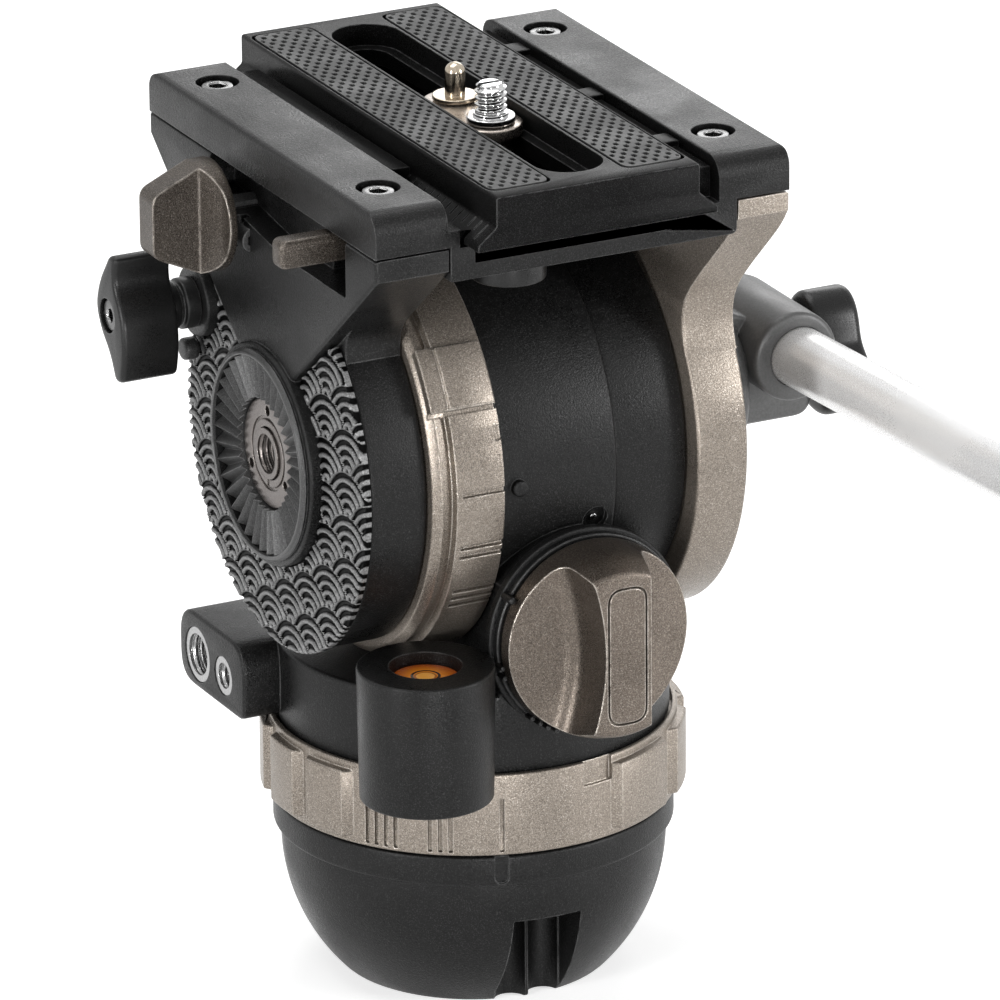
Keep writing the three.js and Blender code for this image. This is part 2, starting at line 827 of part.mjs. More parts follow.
// Tool for the shallow notch in the ring's rim
function panNotchTool() {
  const { start, end, lowZ, depth } = panNotch;
  const shape = new THREE.Shape();
  shape.absarc(0, 0, panRing.radius + overrun, start, end, false);
  shape.absarc(0, 0, panRing.radius - depth, end, start, true);
  shape.closePath();
  return prism(shape, lowZ, panRing.topZ + overrun, "z", 0, lugSteps);
}

// Tools for one group of engraved lines on a cylinder about +Z
function scaleTools({ lines, angle }, radius, lowZ, topZ) {
  return Array.from({ length: lines }, (_, i) => {
    const offset = (i - (lines - 1) / 2) * scaleLine.pitch;
    const tool = box(
      radius - scaleLine.depth,
      radius + overrun,
      -scaleLine.width / 2,
      scaleLine.width / 2,
      lowZ,
      topZ,
    );
    return tool.rotateZ(angle + offset / radius);
  });
}

function buildPanRing() {
  const lipZ = panRing.topZ - panRing.lipDepth;
  const body = revolve(
    [
      [panRing.bore, panRing.lowZ],
      [panRing.radius - panRing.edge, panRing.lowZ],
      [panRing.radius, panRing.lowZ + panRing.edge],
      [panRing.radius, panRing.topZ - panRing.edge],
      [panRing.radius - panRing.edge, panRing.topZ],
      [panRing.lipRadius, panRing.topZ],
      [panRing.lipRadius, lipZ],
      [panRing.bore, lipZ],
      [panRing.bore, panRing.lowZ],
    ],
    "z",
    fineSides,
  );
  const lugs = panLugs.map((lug) => prism(lugOutline(lug), panLug.lowZ, lipZ, "z", 0, lugSteps));
  const { lowZ, topZ } = scaleLine;
  const lines = panScale.flatMap((group) => scaleTools(group, panRing.radius, lowZ, topZ));
  addPiece("pan_drag_ring", cut(join(body, ...lugs), ...lines, panNotchTool()), champagne);
  const camBore = panCartridge.radius + 2 * seatGap;
  addPiece("pan_drag_cam", ring(camBore, panRing.bore - seatGap, panCam.lowZ, panCam.topZ), brass);
}

// Level post: a slightly tapered pillar with its bore for the vial
function postSolid() {
  return revolve(
    [
      [0, post.lowZ],
      [post.footRadius - post.edge, post.lowZ],
      [post.footRadius, post.lowZ + post.edge],
      [post.radius, post.topZ - post.edge],
      [post.radius - post.edge, post.topZ],
      [0, post.topZ],
    ],
    "z",
    midSides,
  ).translate(post.x, post.y, 0);
}

function blockOutline() {
  return outline([
    [block.nearY, block.lowZ, block.lowCorner],
    [block.farY, block.lowZ, block.corner],
    [block.farY, base.topZ, block.corner],
    [block.nearY, base.topZ, block.corner],
  ]);
}

function makeBodyCasting() {
  const baseSolid = revolve(
    [
      [0, base.lowZ],
      [base.radius - base.edge, base.lowZ],
      [base.radius, base.lowZ + base.edge],
      [base.radius, base.topZ - base.edge],
      [base.radius - base.edge, base.topZ],
      [0, base.topZ],
    ],
    "z",
    fineSides,
  );
  const onDrumAxis = (tool) => tool.translate(0, 0, tiltAxisZ);
  const drumSolid = onDrumAxis(bar(drum.radius, drum.leftX, drum.rightX, "x", fineSides, drum.edge));
  const foot = meet(
    prism(
      outline([
        [-pedestal.halfDepth - pedestal.flare, base.topZ - base.edge],
        [pedestal.halfDepth + pedestal.flare, base.topZ - base.edge],
        [pedestal.halfDepth, pedestal.flareZ, pedestal.flare],
        [pedestal.halfDepth, tiltAxisZ],
        [-pedestal.halfDepth, tiltAxisZ],
        [-pedestal.halfDepth, pedestal.flareZ, pedestal.flare],
      ]),
      drum.leftX,
      pedestal.rightX,
      "x",
    ),
    bar(base.radius - base.edge, base.lowZ, tiltAxisZ, "z", fineSides),
  );
  const { x, z } = dial;
  const { halfWidth, frontY, rootY, bossRadius } = dialSeat;
  const dialShaftEnd = dial.backY + dialShaft.length;
  const seatWall = meet(
    box(x - halfWidth, x + halfWidth, -base.radius - overrun, 0, base.topZ - 2 * base.edge, dialSeat.topZ),
    bar(base.radius, base.lowZ, tiltAxisZ, "z", fineSides),
  );
  const bezel = bar(bossRadius, frontY, frontY + dialSeat.bezelThick, "y", fineSides).translate(x, 0, z);
  const seatBoss = meet(
    bar(bossRadius - base.edge, frontY + seatGap, rootY, "y").translate(x, 0, z),
    box(drum.leftX, pedestal.rightX, frontY, rootY, base.lowZ, tiltAxisZ),
  );
  const neckLength = base.radius + post.stand - base.cavityRadius;
  const neck = box(-post.neckWidth / 2, post.neckWidth / 2, 0, neckLength, post.lowZ, base.topZ);
  neck.rotateZ(post.angle + Math.PI / 2).translate(post.x, post.y, 0);
  const accessory = prism(blockOutline(), block.faceX, block.rootX, "x", block.edge);
  const nubTip = -drum.radius - drumNub.rise;
  const nub = bar(drumNub.radius, nubTip, -drum.radius + overrun, "y").translate(drumNub.x, 0, tiltAxisZ);
  const dialEnd = join(seatWall, bezel, seatBoss);
  const whole = join(baseSolid, drumSolid, foot, dialEnd, neck, accessory, postSolid(), nub);
  const [stemInner, stemOuter] = [panLock.stemInner - seatGap, base.radius + overrun];
  const panLockBore = bar(clampScrew.radius + seatGap, stemInner, stemOuter, "x");
  const vialSeat = bar(vial.seatRadius, post.topZ - vial.seatDepth, post.topZ + overrun, "z", midSides);
  const body = cut(
    whole,
    bar(base.cavityRadius, base.lowZ - overrun, base.cavityTopZ, "z", midSides),
    onDrumAxis(bar(drum.bore, drum.leftX - overrun, drum.floorX, "x", midSides)),
    onDrumAxis(bar(hub.shaftBore, drum.leftX, drum.rightX + overrun, "x", midSides)),
    onDrumAxis(bar(drumCap.radius + seatGap, drum.rightX, pedestal.rightX + overrun, "x", fineSides)),
    bar(spindleHole.radius, base.lowZ, spindleHole.chamberTopZ, "z", midSides),
    bar(spindleHole.chamberRadius, spindleHole.chamberLowZ, spindleHole.chamberTopZ),
    panLockBore.translate(0, 0, panLock.z).rotateZ(panLock.angle),
    bar(dialSeat.boreRadius, frontY - overrun, dialShaftEnd + overrun, "y").translate(x, 0, z),
    vialSeat.translate(post.x, post.y, 0),
    onDrum(bar(drumRecess.radius, drum.radius - drumRecess.depth, drum.radius + overrun, "y")),
    ...[largeThread, smallThread].map(({ y, z, radius }) => {
      const boreRadius = radius + blockInsert.wall + seatGap;
      return bar(boreRadius, block.faceX - overrun, block.faceX + blockInsert.depth, "x").translate(0, y, z);
    }),
  );
  const pinTop = drum.radius - drumRecess.depth / 2;
  return join(body, onDrum(bar(drumRecess.pinRadius, pinTop - overrun, pinTop, "y")));
}

// Brings a piece made along +Y to the drum's recess
function onDrum(piece) {
  return piece.rotateX(drumRecess.angle).translate(drumRecess.x, 0, tiltAxisZ);
}

function buildBody() {
  addPiece("body_casting", makeBodyCasting(), blackCasting);
  const lid = panCartridge.topZ - panCartridge.lidThick;
  addPiece(
    "pan_drag_cartridge",
    revolve(
      [
        [spindle.shaftRadius + runGap, panCartridge.lowZ],
        [panCartridge.radius, panCartridge.lowZ],
        [panCartridge.radius, lid],
        [panCartridge.radius - seatGap, lid],
        [panCartridge.radius - seatGap, panCartridge.topZ],
        [spindle.shaftRadius + runGap, panCartridge.topZ],
        [spindle.shaftRadius + runGap, panCartridge.lowZ],
      ],
      "z",
      midSides,
    ),
    darkGrey,
  );
  const insertLength = blockInsert.depth - seatGap - blockInsert.inset;
  for (const [name, { y, z, radius }] of [
    ["large_thread_insert", largeThread],
    ["small_thread_insert", smallThread],
  ]) {
    const insert = ring(radius, radius + blockInsert.wall, 0, insertLength, "x", smallSides);
    addPiece(name, insert, chromePlate, head, [block.faceX + blockInsert.inset, y, z]);
  }
  const vialZ = post.topZ - vial.seatDepth + seatGap;
  const glass = revolve(
    [
      [0, 0],
      [vial.radius, 0],
      [vial.radius, vial.height - vial.domeRise],
      [vial.radius / 2, vial.height - vial.domeRise / 4],
      [0, vial.height],
    ],
    "z",
    midSides,
  );
  addPiece("level_vial", glass, amber, head, [post.x, post.y, vialZ]);
}

// Drum interior: the fluid cartridge on the left of the web, the counterbalance spring on its right
function buildDrum() {
  const { leftX, capThick, capRadius, radius } = dragCartridge;
  const bore = tiltShaft.radius + runGap;
  const cartridge = revolve(
    [
      [bore, leftX],
      [capRadius, leftX],
      [capRadius, leftX + capThick],
      [radius, leftX + capThick],
      [radius, drum.floorX - seatGap],
      [bore, drum.floorX - seatGap],
      [bore, leftX],
    ],
    "x",
    midSides,
  );
  addPiece("tilt_drag_cartridge", cartridge, darkGrey, tilting);
  const capLeft = drum.rightX + seatGap;
  const capInside = drumCap.rightX - drumCap.faceThick;
  const capBody = cut(
    revolve(
      [
        [0, capLeft],
        [drumCap.radius, capLeft],
        [drumCap.radius, drumCap.rightX - drumCap.edge],
        [drumCap.radius - drumCap.edge, drumCap.rightX],
        [0, drumCap.rightX],
      ],
      "x",
      fineSides,
    ),
    bar(drumCap.radius - drumCap.wall, capLeft - overrun, capInside, "x", midSides),
    bar(tiltBearing.radius + seatGap, capInside - overrun, drumCap.rightX + overrun, "x", midSides),
  );
  addPiece("drum_cap", capBody, blackCasting, tilting);
  addPiece(
    "tilt_bearing",
    ring(bore, tiltBearing.radius, drumCap.rightX - tiltBearing.width, drumCap.rightX, "x"),
    steel,
    tilting,
  );
  addPiece("counterbalance_spring", makeCoilSpring(), steel, tilting);
}

// A torsion spring wound round +X from the web towards the cap
function makeCoilSpring() {
  const { meanRadius, wireRadius, turns, pitch, stepsPerTurn, wireSides } = coilSpring;
  const startX = drum.rightX + seatGap + wireRadius;
  const steps = turns * stepsPerTurn;
  const rings = Array.from({ length: steps + 1 }, (_, i) => {
    const angle = (i / stepsPerTurn) * 2 * Math.PI;
    const [c, s] = [Math.cos(angle), Math.sin(angle)];
    return Array.from({ length: wireSides }, (_unused, k) => {
      const around = (k / wireSides) * 2 * Math.PI;
      const radius = meanRadius + wireRadius * Math.cos(around);
      const x = startX + (i / stepsPerTurn) * pitch + wireRadius * Math.sin(around);
      return [x, radius * c, radius * s];
    });
  });
  return toGeometry(toSolid(loft(rings)));
}

// Dial: a domed cap with a finger scoop cut on each side of its bar, which carries an inset obround line
function buildDial() {
  const { radius, backY, shoulderY, faceY } = dial;
  const { faceShare, edgeShare, shoulderShare } = dialShares;
  const profile = [
    [0, faceY],
    [radius * faceShare, faceY + dialRim.faceRise],
    [radius * edgeShare, faceY + dialRim.edgeRise],
    [radius * shoulderShare, shoulderY],
    [radius, backY],
    [0, backY],
  ];
  const body = revolve(profile, "y", midSides);
  const scoops = [-1, 1].map((side) =>
    bar(dialScoop.radius, -radius - overrun, radius + overrun, "z", midSides).translate(
      side * dialScoop.offset,
      faceY - dialScoop.proud,
      0,
    ),
  );
  const loop = (half, ends) => obround(half, -ends, ends);
  const { width, length, depth, line } = dialInset;
  const groove = cut(
    prism(loop(width / 2, length / 2), faceY - overrun, faceY + depth + dialRim.faceRise, "y"),
    prism(loop(width / 2 - line, length / 2 - line), faceY - overrun * 2, faceY + depth + overrun, "y"),
  );
  const stem = bar(dialShaft.radius, backY - dialRim.faceRise, backY + dialShaft.length, "y");
  const whole = join(cut(body, ...scoops, groove), stem);
  addPiece("counterbalance_dial", whole, champagne, head, [dial.x, 0, dial.z]);
}

// A pad that follows the tilt ring, from its bore out to a rise above its rim
function tiltPad(rise, sweep, leftX, rightX) {
  const [start, end] = [tiltLug.angle - sweep / 2, tiltLug.angle + sweep / 2];
  const shape = new THREE.Shape();
  shape.absarc(0, 0, tiltRing.radius + rise, start, end, false);
  shape.absarc(0, 0, tiltRing.bore + seatGap, end, start, true);
  shape.closePath();
  return prism(shape, leftX, rightX, "x", 0, lugSteps);
}

function buildTiltRing() {
  const { leftX, rightX, radius, bore, edge } = tiltRing;
  const body = revolve(
    [
      [bore, leftX],
      [radius - edge, leftX],
      [radius, leftX + edge],
      [radius, rightX - edge / 2],
      [radius - edge / 2, rightX],
      [bore, rightX],
      [bore, leftX],
    ],
    "x",
    fineSides,
  );
  const lug = tiltLug;
  const step = tiltLugStep;
  const pads = [
    tiltPad(lug.rise, lug.sweep, lug.leftX, lug.rightX),
    tiltPad(step.rise, lug.sweep + 2 * step.spread, lug.leftX - step.width, lug.rightX + step.width),
  ];
  const dent = bar(tiltDent.radius, radius - tiltDent.depth, radius + overrun, "y");
  dent.rotateX(tiltDent.angle).translate(rightX - tiltDent.inset, 0, 0);
  const lines = tiltScale.flatMap(({ lines: count, angle }) =>
    Array.from({ length: count }, (_, i) => {
      const offset = (i - (count - 1) / 2) * scaleLine.pitch;
      const tool = box(
        rightX - tiltScaleLength,
        rightX + overrun,
        radius - scaleLine.depth,
        radius + overrun,
        -scaleLine.width / 2,
        scaleLine.width / 2,
      );
      return tool.rotateX(angle + offset / radius);
    }),
  );
  addPiece("tilt_drag_ring", cut(join(body, ...pads), ...lines, dent), champagne, tilting);
  const cam = ring(tiltCam.radius - tiltCam.wall, tiltCam.radius, tiltCam.leftX, tiltCam.rightX, "x");
  addPiece("tilt_drag_cam", cam, brass, tilting);
}

// Side outline of the black arm's proud skin: a V from the rail down to the rosette boss
function skinOutline() {
  return outline([
    [arm.nearY, arm.seamZ],
    [arm.nearY, arm.shoulderZ],
    [-arm.vFootY, arm.vFootZ],
    [arm.vFootY, arm.vFootZ],
    [arm.farY, arm.shoulderZ],
    [arm.farY, arm.seamZ],
  ]);
}

// Side outline of the arm's body behind the skin: it drops straight into the hub below its waist
function armBodyOutline() {
  return outline([
    [arm.nearY, arm.seamZ],
    [arm.nearY, arm.shoulderZ],
    [-arm.waistY - arm.edge * 2, arm.waistZ + arm.edge * 2],
    [-arm.waistY, arm.waistZ - arm.edge],
    [-arm.waistY, 0],
    [arm.waistY, 0],
    [arm.waistY, arm.waistZ - arm.edge],
    [arm.waistY + arm.edge * 2, arm.waistZ + arm.edge * 2],
    [arm.farY, arm.shoulderZ],
    [arm.farY, arm.seamZ],
  ]);
}

function capScrewPlaces() {
  return [-1, 1].flatMap((side) => [
    [side * capScrew.x, capScrew.nearY],
    [side * capScrew.x, capScrew.farY],
  ]);
}

// Foot of the cap screws' holes in both arms
const capScrewFootZ = platform.topZ - capScrew.length - capScrew.sink - seatGap;

function capScrewShankTools(lowZ, highZ) {
  const radius = capScrew.shankRadius + seatGap;
  return capScrewPlaces().map(([x, y]) => bar(radius, lowZ, highZ).translate(x, y, 0));
}

function makeBlackArm() {
  const skin = prism(skinOutline(), arm.outerX, hub.faceX + overrun, "x", arm.edge);
  const trunk = prism(armBodyOutline(), hub.faceX, arm.innerX, "x");
  const drumEnd = bar(hub.radius, hub.faceX, arm.innerX, "x", fineSides);
  const bossBar = bar(boss.radius, boss.faceX, hub.faceX + overrun, "x", fineSides, arm.edge / 2);
  const rim = bar(boss.rimRadius, boss.rimX, boss.faceX + overrun, "x", fineSides);
  const atLock = (piece) => piece.translate(0, lockLug.y, lockLug.z);
  const atClamp = (piece) => piece.translate(0, clampKnob.y, clampKnob.z);
  const lug = atLock(bar(lockLug.radius, lockLug.faceX, lockLug.rootX, "x", midSides, arm.edge / 2));
  const collar = atClamp(bar(clampScrew.collarRadius, clampScrew.collarFaceX, hub.faceX + overrun, "x"));
  const body = join(skin, trunk, drumEnd, bossBar, rim, lug, collar);
  const windowShape = outline([
    [armWindow.nearY, armWindow.lowZ],
    [armWindow.slantY, armWindow.lowZ],
    [armWindow.farY, armWindow.slantZ],
    [armWindow.farY, arm.seamZ + overrun],
    [armWindow.nearY, arm.seamZ + overrun],
  ]);
  const { floorX, deepX, deepNearY, deepFarY, lowZ } = armWindow;
  const { legX, legNearY, legFarY, legLowZ, travel } = movingJaw;
  const [jawNear, jawFar] = [legNearY - seatGap, legFarY + seatGap];
  const highZ = arm.seamZ + overrun;
  const bore = clampScrew.radius + seatGap;
  const stemBore = bar(stopScrew.stemRadius + seatGap, boss.faceX - overrun, arm.innerX - 2 * overrun, "x");
  return cut(
    body,
    prism(windowShape, arm.outerX - overrun, floorX, "x"),
    box(floorX - overrun, deepX, deepNearY, deepFarY, lowZ, highZ),
    box(legX - travel - seatGap, arm.innerX + overrun, jawNear, jawFar, legLowZ - seatGap, highZ),
    atClamp(bar(bore, clampScrew.collarFaceX - overrun, arm.innerX, "x")),
    atLock(bar(bore, lockLug.faceX - overrun, lockLug.rootX - overrun, "x")),
    bar(rosette.radius + seatGap, boss.rimX - overrun, rosette.seatX + seatGap, "x", fineSides),
    bar(hubPlate.radius + seatGap, boss.rimX, hubPlate.backX + seatGap, "x", midSides),
    bar(hubThread.outerRadius + seatGap, boss.rimX, hubThread.backX + seatGap, "x"),
    bar(hub.shaftBore, hub.shaftFloorX, arm.innerX + overrun, "x", midSides),
    stemBore.translate(0, stopScrew.y, stopScrew.z),
    ...capScrewShankTools(capScrewFootZ, highZ),
  );
}

function makePatternCover() {
  const plateBody = revolve(
    [
      [cover.inner, cover.backX],
      [cover.radius, cover.backX],
      [cover.radius, cover.rimFaceX + cover.edge],
      [cover.radius - cover.edge, cover.rimFaceX],
      [cover.inner, cover.faceX],
      [cover.inner, cover.backX],
    ],
    "x",
    fineSides,
  );
  const grow = seatGap * Math.SQRT2;
  const vTool = outline([
    [arm.nearY - grow, arm.seamZ],
    [arm.nearY - grow, arm.shoulderZ - grow],
    [-arm.vFootY - grow, arm.vFootZ - grow],
    [arm.vFootY + grow, arm.vFootZ - grow],
    [arm.farY + grow, arm.shoulderZ - grow],
    [arm.farY + grow, arm.seamZ],
  ]);
  const [left, right] = [cover.faceX - overrun, cover.backX + overrun];
  return cut(
    plateBody,
    prism(vTool, left, right, "x"),
    bar(lockLug.radius + seatGap, left, right, "x", midSides).translate(0, lockLug.y, lockLug.z),
    bar(stopScrew.stemRadius + seatGap, left, right, "x").translate(0, stopScrew.y, stopScrew.z),
  );
}

function buildBlackArm() {
  addPiece("left_arm", makeBlackArm(), blackCasting, tilting);
  addPiece("pattern_cover", makePatternCover(), darkGrey, tilting);
  addPiece("left_rosette", toothedRing(rosette), darkGrey, tilting);
  const pins = Array.from({ length: hubPlate.pins }, (_, i) => {
    const angle = (i / hubPlate.pins) * 2 * Math.PI;
    const [y, z] = [hubPlate.pinCircle * Math.cos(angle), hubPlate.pinCircle * Math.sin(angle)];
    const pinFoot = hubPlate.faceX + hubPlate.pinDepth;
    return bar(hubPlate.pinRadius, hubPlate.faceX - overrun, pinFoot, "x", pinSides).translate(0, y, z);
  });
  const disc = ring(hubThread.outerRadius + seatGap, hubPlate.radius, hubPlate.faceX, hubPlate.backX, "x");
  addPiece("hub_plate", cut(disc, ...pins), nickel, tilting);
  addPiece(
    "hub_thread_insert",
    ring(hubThread.radius, hubThread.outerRadius, hubThread.faceX, hubThread.backX, "x", smallSides),
    steel,
    tilting,
  );
  const screw = revolve(
    [
      [0, -stopScrew.rise],
      [stopScrew.neckRadius, -stopScrew.rise],
      [stopScrew.radius, stopScrew.crown - stopScrew.rise],
      [stopScrew.radius, 0],
      [stopScrew.stemRadius, 0],
      [stopScrew.stemRadius, stopScrew.length],
      [0, stopScrew.length],
    ],
    "x",
    smallSides,
  );
  addPiece("stop_screw", screw, steel, tilting, [cover.faceX - seatGap, stopScrew.y, stopScrew.z]);
}

function buildSilverArm() {
  const profile = outline([
    [silver.innerX, -silver.discRadius - overrun],
    [silver.innerX, silver.bendLowZ, silver.lowRound],
    [silver.topInnerX, silver.bendHighZ, silver.highRound],
    [silver.topInnerX, arm.seamZ],
    [platform.halfWidth, arm.seamZ],
    [platform.halfWidth, silver.bendHighZ, silver.highRound],
    [silver.outerX, silver.bendLowZ, silver.lowRound],
    [silver.outerX, -silver.discRadius - overrun],
  ]);
  const side = outline([
    [arm.nearY, arm.seamZ],
    [arm.nearY, silver.shoulderZ],
    [-silver.neckY, silver.neckZ, silver.neckRound],
    [-silver.neckY, 0],
    [silver.neckY, 0],
    [silver.neckY, silver.neckZ, silver.neckRound],
    [arm.farY, silver.shoulderZ],
    [arm.farY, arm.seamZ],
  ]);
  const disc = bar(silver.discRadius, silver.innerX, silver.outerX, "x", fineSides, silver.edge);
  const blank = join(disc, prism(side, silver.innerX, platform.halfWidth, "x"));
  const body = meet(blank, prism(profile, arm.nearY - overrun, arm.farY + overrun, "y"));
  const armSolid = cut(
    body,
    bar(hub.shaftBore, silver.innerX - overrun, tiltShaft.rightX + seatGap, "x", midSides),
    bar(armRosette.radius + seatGap, armRosette.seatX - seatGap, silver.outerX + overrun, "x", fineSides),
    bar(handleBolt.radius + seatGap, silver.innerX, silver.outerX + overrun, "x"),
    ...capScrewShankTools(capScrewFootZ, arm.seamZ + overrun),
  );
  addPiece("right_arm", armSolid, champagne, tilting);
  addPiece("right_rosette", toothedRing(armRosette), steel, tilting);
  const shaft = bar(tiltShaft.radius, tiltShaft.leftX, tiltShaft.rightX, "x", midSides, breakEdge);
  addPiece("tilt_shaft", shaft, steel, tilting);
}

// Platform: a channel with a cap over each arm, its section drawn from the operator's side
function makePlatform() {
  const p = platform;
  const leftFloorX = arm.innerX + seatGap;
  const rightFloorX = silver.topInnerX - seatGap;
  const section = outline([
    [leftFloorX, p.floorLowZ],
    [rightFloorX, p.floorLowZ, p.edge],
    [rightFloorX, p.seamZ],
    [p.halfWidth, p.seamZ],
    [p.halfWidth, p.topZ, p.edge],
    [p.innerHalf, p.topZ],
    [p.innerHalf, p.seamZ],
    [p.ledgeInnerX, p.seamZ],
    [p.ledgeInnerX, p.floorTopZ],
    [-p.ledgeInnerX, p.floorTopZ],
    [-p.ledgeInnerX, p.seamZ],
    [-p.stepX, p.seamZ],
    [-p.stepX, p.stepZ],
    [-p.innerHalf, p.stepZ],
    [-p.innerHalf, p.topZ],
    [-p.halfWidth, p.topZ, p.edge],
    [-p.halfWidth, p.seamZ],
    [leftFloorX, p.seamZ],
  ]);
  const side = outline([
    [p.nearY, p.floorLowZ],
    [p.farY, p.floorLowZ],
    [p.farY, p.topZ, p.endRound],
    [p.nearY, p.topZ, p.endRound],
  ]);
  const body = meet(
    prism(section, p.nearY, p.farY, "y"),
    prism(side, -p.halfWidth - overrun, p.halfWidth + overrun, "x"),
  );
  const headLowZ = p.topZ - capScrew.headHeight - capScrew.sink - seatGap;
  const screwTools = capScrewPlaces().flatMap(([x, y]) => [
    bar(capScrew.headRadius + 2 * seatGap, headLowZ, p.topZ + overrun).translate(x, y, 0),
    bar(capScrew.shankRadius + seatGap, p.seamZ - overrun, p.topZ + overrun).translate(x, y, 0),
  ]);
  const jaw = movingJaw;
  const back = jaw.travel + seatGap;
  const topZ = jaw.topZ + seatGap;
  const [legNearY, legFarY] = [jaw.legNearY - seatGap, jaw.legFarY + seatGap];
  return cut(
    body,
    box(-p.innerHalf - back, -p.innerHalf + overrun, jaw.nearY - seatGap, jaw.farY + seatGap, p.stepZ, topZ),
    box(jaw.legX - back, -p.innerHalf + seatGap, legNearY, legFarY, p.floorLowZ - overrun, topZ),
    ...screwTools,
  );
}

// Slope of the plate's dovetail, moved out by a gap, at a height
function dovetailX(z) {
  const share = (plate.slabZ - z) / (plate.slabZ - plate.wingZ);
  return plate.halfWidth + (plate.baseHalf - plate.halfWidth) * share + 2 * seatGap;
}

function buildPlatform() {
  addPiece("platform", makePlatform(), blackCasting, tilting);
  capScrewPlaces().forEach(([x, y], i) => {
    const place = [x, y, platform.topZ - capScrew.sink];
    addPiece(`cap_screw_${i + 1}`, socketScrew(capScrew), steel, tilting, place);
  });
  const bossTop = platform.floorLowZ - seatGap;
  const boss = bar(floorBoss.radius, bossTop - floorBoss.height, bossTop, "z", midSides);
  addPiece("floor_boss", boss.translate(floorBoss.x, floorBoss.y, 0), blackPlastic, tilting);
  const wallX = platform.innerHalf - seatGap;
  const lowZ = platform.seamZ + seatGap;
  const tipX = plate.halfWidth + 2 * seatGap;
  const jawShape = outline([
    [wallX, lowZ],
    [wallX, fixedJaw.topZ],
    [tipX, fixedJaw.topZ],
    [tipX, plate.slabZ + seatGap],
    [dovetailX(plate.wingZ), plate.wingZ + seatGap],
    [dovetailX(plate.wingZ), lowZ],
  ]);
  const jawLength = fixedJaw.farY - fixedJaw.nearY;
  const { topZ, lugRise, nearY } = fixedJaw;
  const lugs = Array.from({ length: fixedJaw.lugs }, (_, i) => {
    const middle = nearY + (jawLength * (i + 0.5)) / fixedJaw.lugs;
    const half = (jawLength * fixedJawLugShare) / 2;
    return box(tipX + seatGap, wallX, middle - half, middle + half, topZ - overrun, topZ + lugRise);
  });
  addPiece("fixed_jaw", join(prism(jawShape, nearY, fixedJaw.farY, "y"), ...lugs), blackPlastic, tilting);
}

function buildMovingJaw() {
  const jaw = movingJaw;
  const lowZ = platform.stepZ + seatGap;
  const tipX = plate.halfWidth + 2 * seatGap;
  const wallX = platform.innerHalf - seatGap;
  const shape = outline([
    [-wallX, lowZ],
    [-dovetailX(lowZ - seatGap), lowZ],
    [-tipX, plate.slabZ + seatGap],
    [-tipX, jaw.topZ],
    [-wallX, jaw.topZ],
  ]);
  const bridge = box(jaw.legX, -wallX + seatGap, jaw.legNearY, jaw.legFarY, lowZ, jaw.topZ);
  const leg = box(jaw.legX, jaw.legInnerX, jaw.legNearY, jaw.legFarY, jaw.legLowZ, jaw.topZ);
  const hole = bar(clampScrew.radius + seatGap, jaw.legX - overrun, jaw.legInnerX + overrun, "x");
  hole.translate(0, clampKnob.y, clampKnob.z);
  const body = join(prism(shape, jaw.nearY, jaw.farY, "y"), bridge, leg);
  addPiece("moving_jaw", cut(body, hole), blackAnodised, tilting);
}

function buildPlate() {
  const p = plate;
  const section = outline([
    [-p.baseHalf, p.lowZ],
    [p.baseHalf, p.lowZ],
    [p.baseHalf, p.wingZ],
    [p.halfWidth, p.slabZ],
    [p.halfWidth, p.topZ - p.edge],
    [p.halfWidth - p.edge, p.topZ],
    [-p.halfWidth + p.edge, p.topZ],
    [-p.halfWidth, p.topZ - p.edge],
    [-p.halfWidth, p.slabZ],
    [-p.baseHalf, p.wingZ],
  ]);
  const body = prism(section, p.nearY, p.farY, "y");
  const padTool = (side) => padOutline(side, pad.gap);
  const { ledge } = slot;
  const plateSolid = cut(
    body,
    prism(obround(slot.halfWidth, slot.nearY, slot.farY), slot.ledgeTopZ, p.topZ + overrun),
    prism(obround(slot.halfWidth - ledge, slot.nearY + ledge, slot.farY - ledge), p.lowZ - overrun, p.topZ),
    prism(obround(slot.channelHalf, slot.nearY, slot.farY), p.lowZ - overrun, slot.ledgeLowZ),
    prism(padTool(-1), p.topZ - pad.depth, p.topZ + overrun),
    prism(padTool(1), p.topZ - pad.depth, p.topZ + overrun),
  );
  addPiece("camera_plate", plateSolid, blackAnodised, tilting);
  for (const [name, side] of [
    ["left_pad", -1],
    ["right_pad", 1],
  ]) {
    const top = p.topZ + pad.proud;
    addPiece(name, prism(padOutline(side, 0), p.topZ - pad.depth + seatGap, top), blackRubber, tilting);
  }
}

function padOutline(side, grow) {
  const inner = pad.innerX - grow;
  const outer = pad.outerX + grow;
  const [x0, x1] = side > 0 ? [inner, outer] : [-outer, -inner];
  return roundedRectangle(x0, pad.nearY - grow, x1, pad.farY + grow, pad.corner);
}

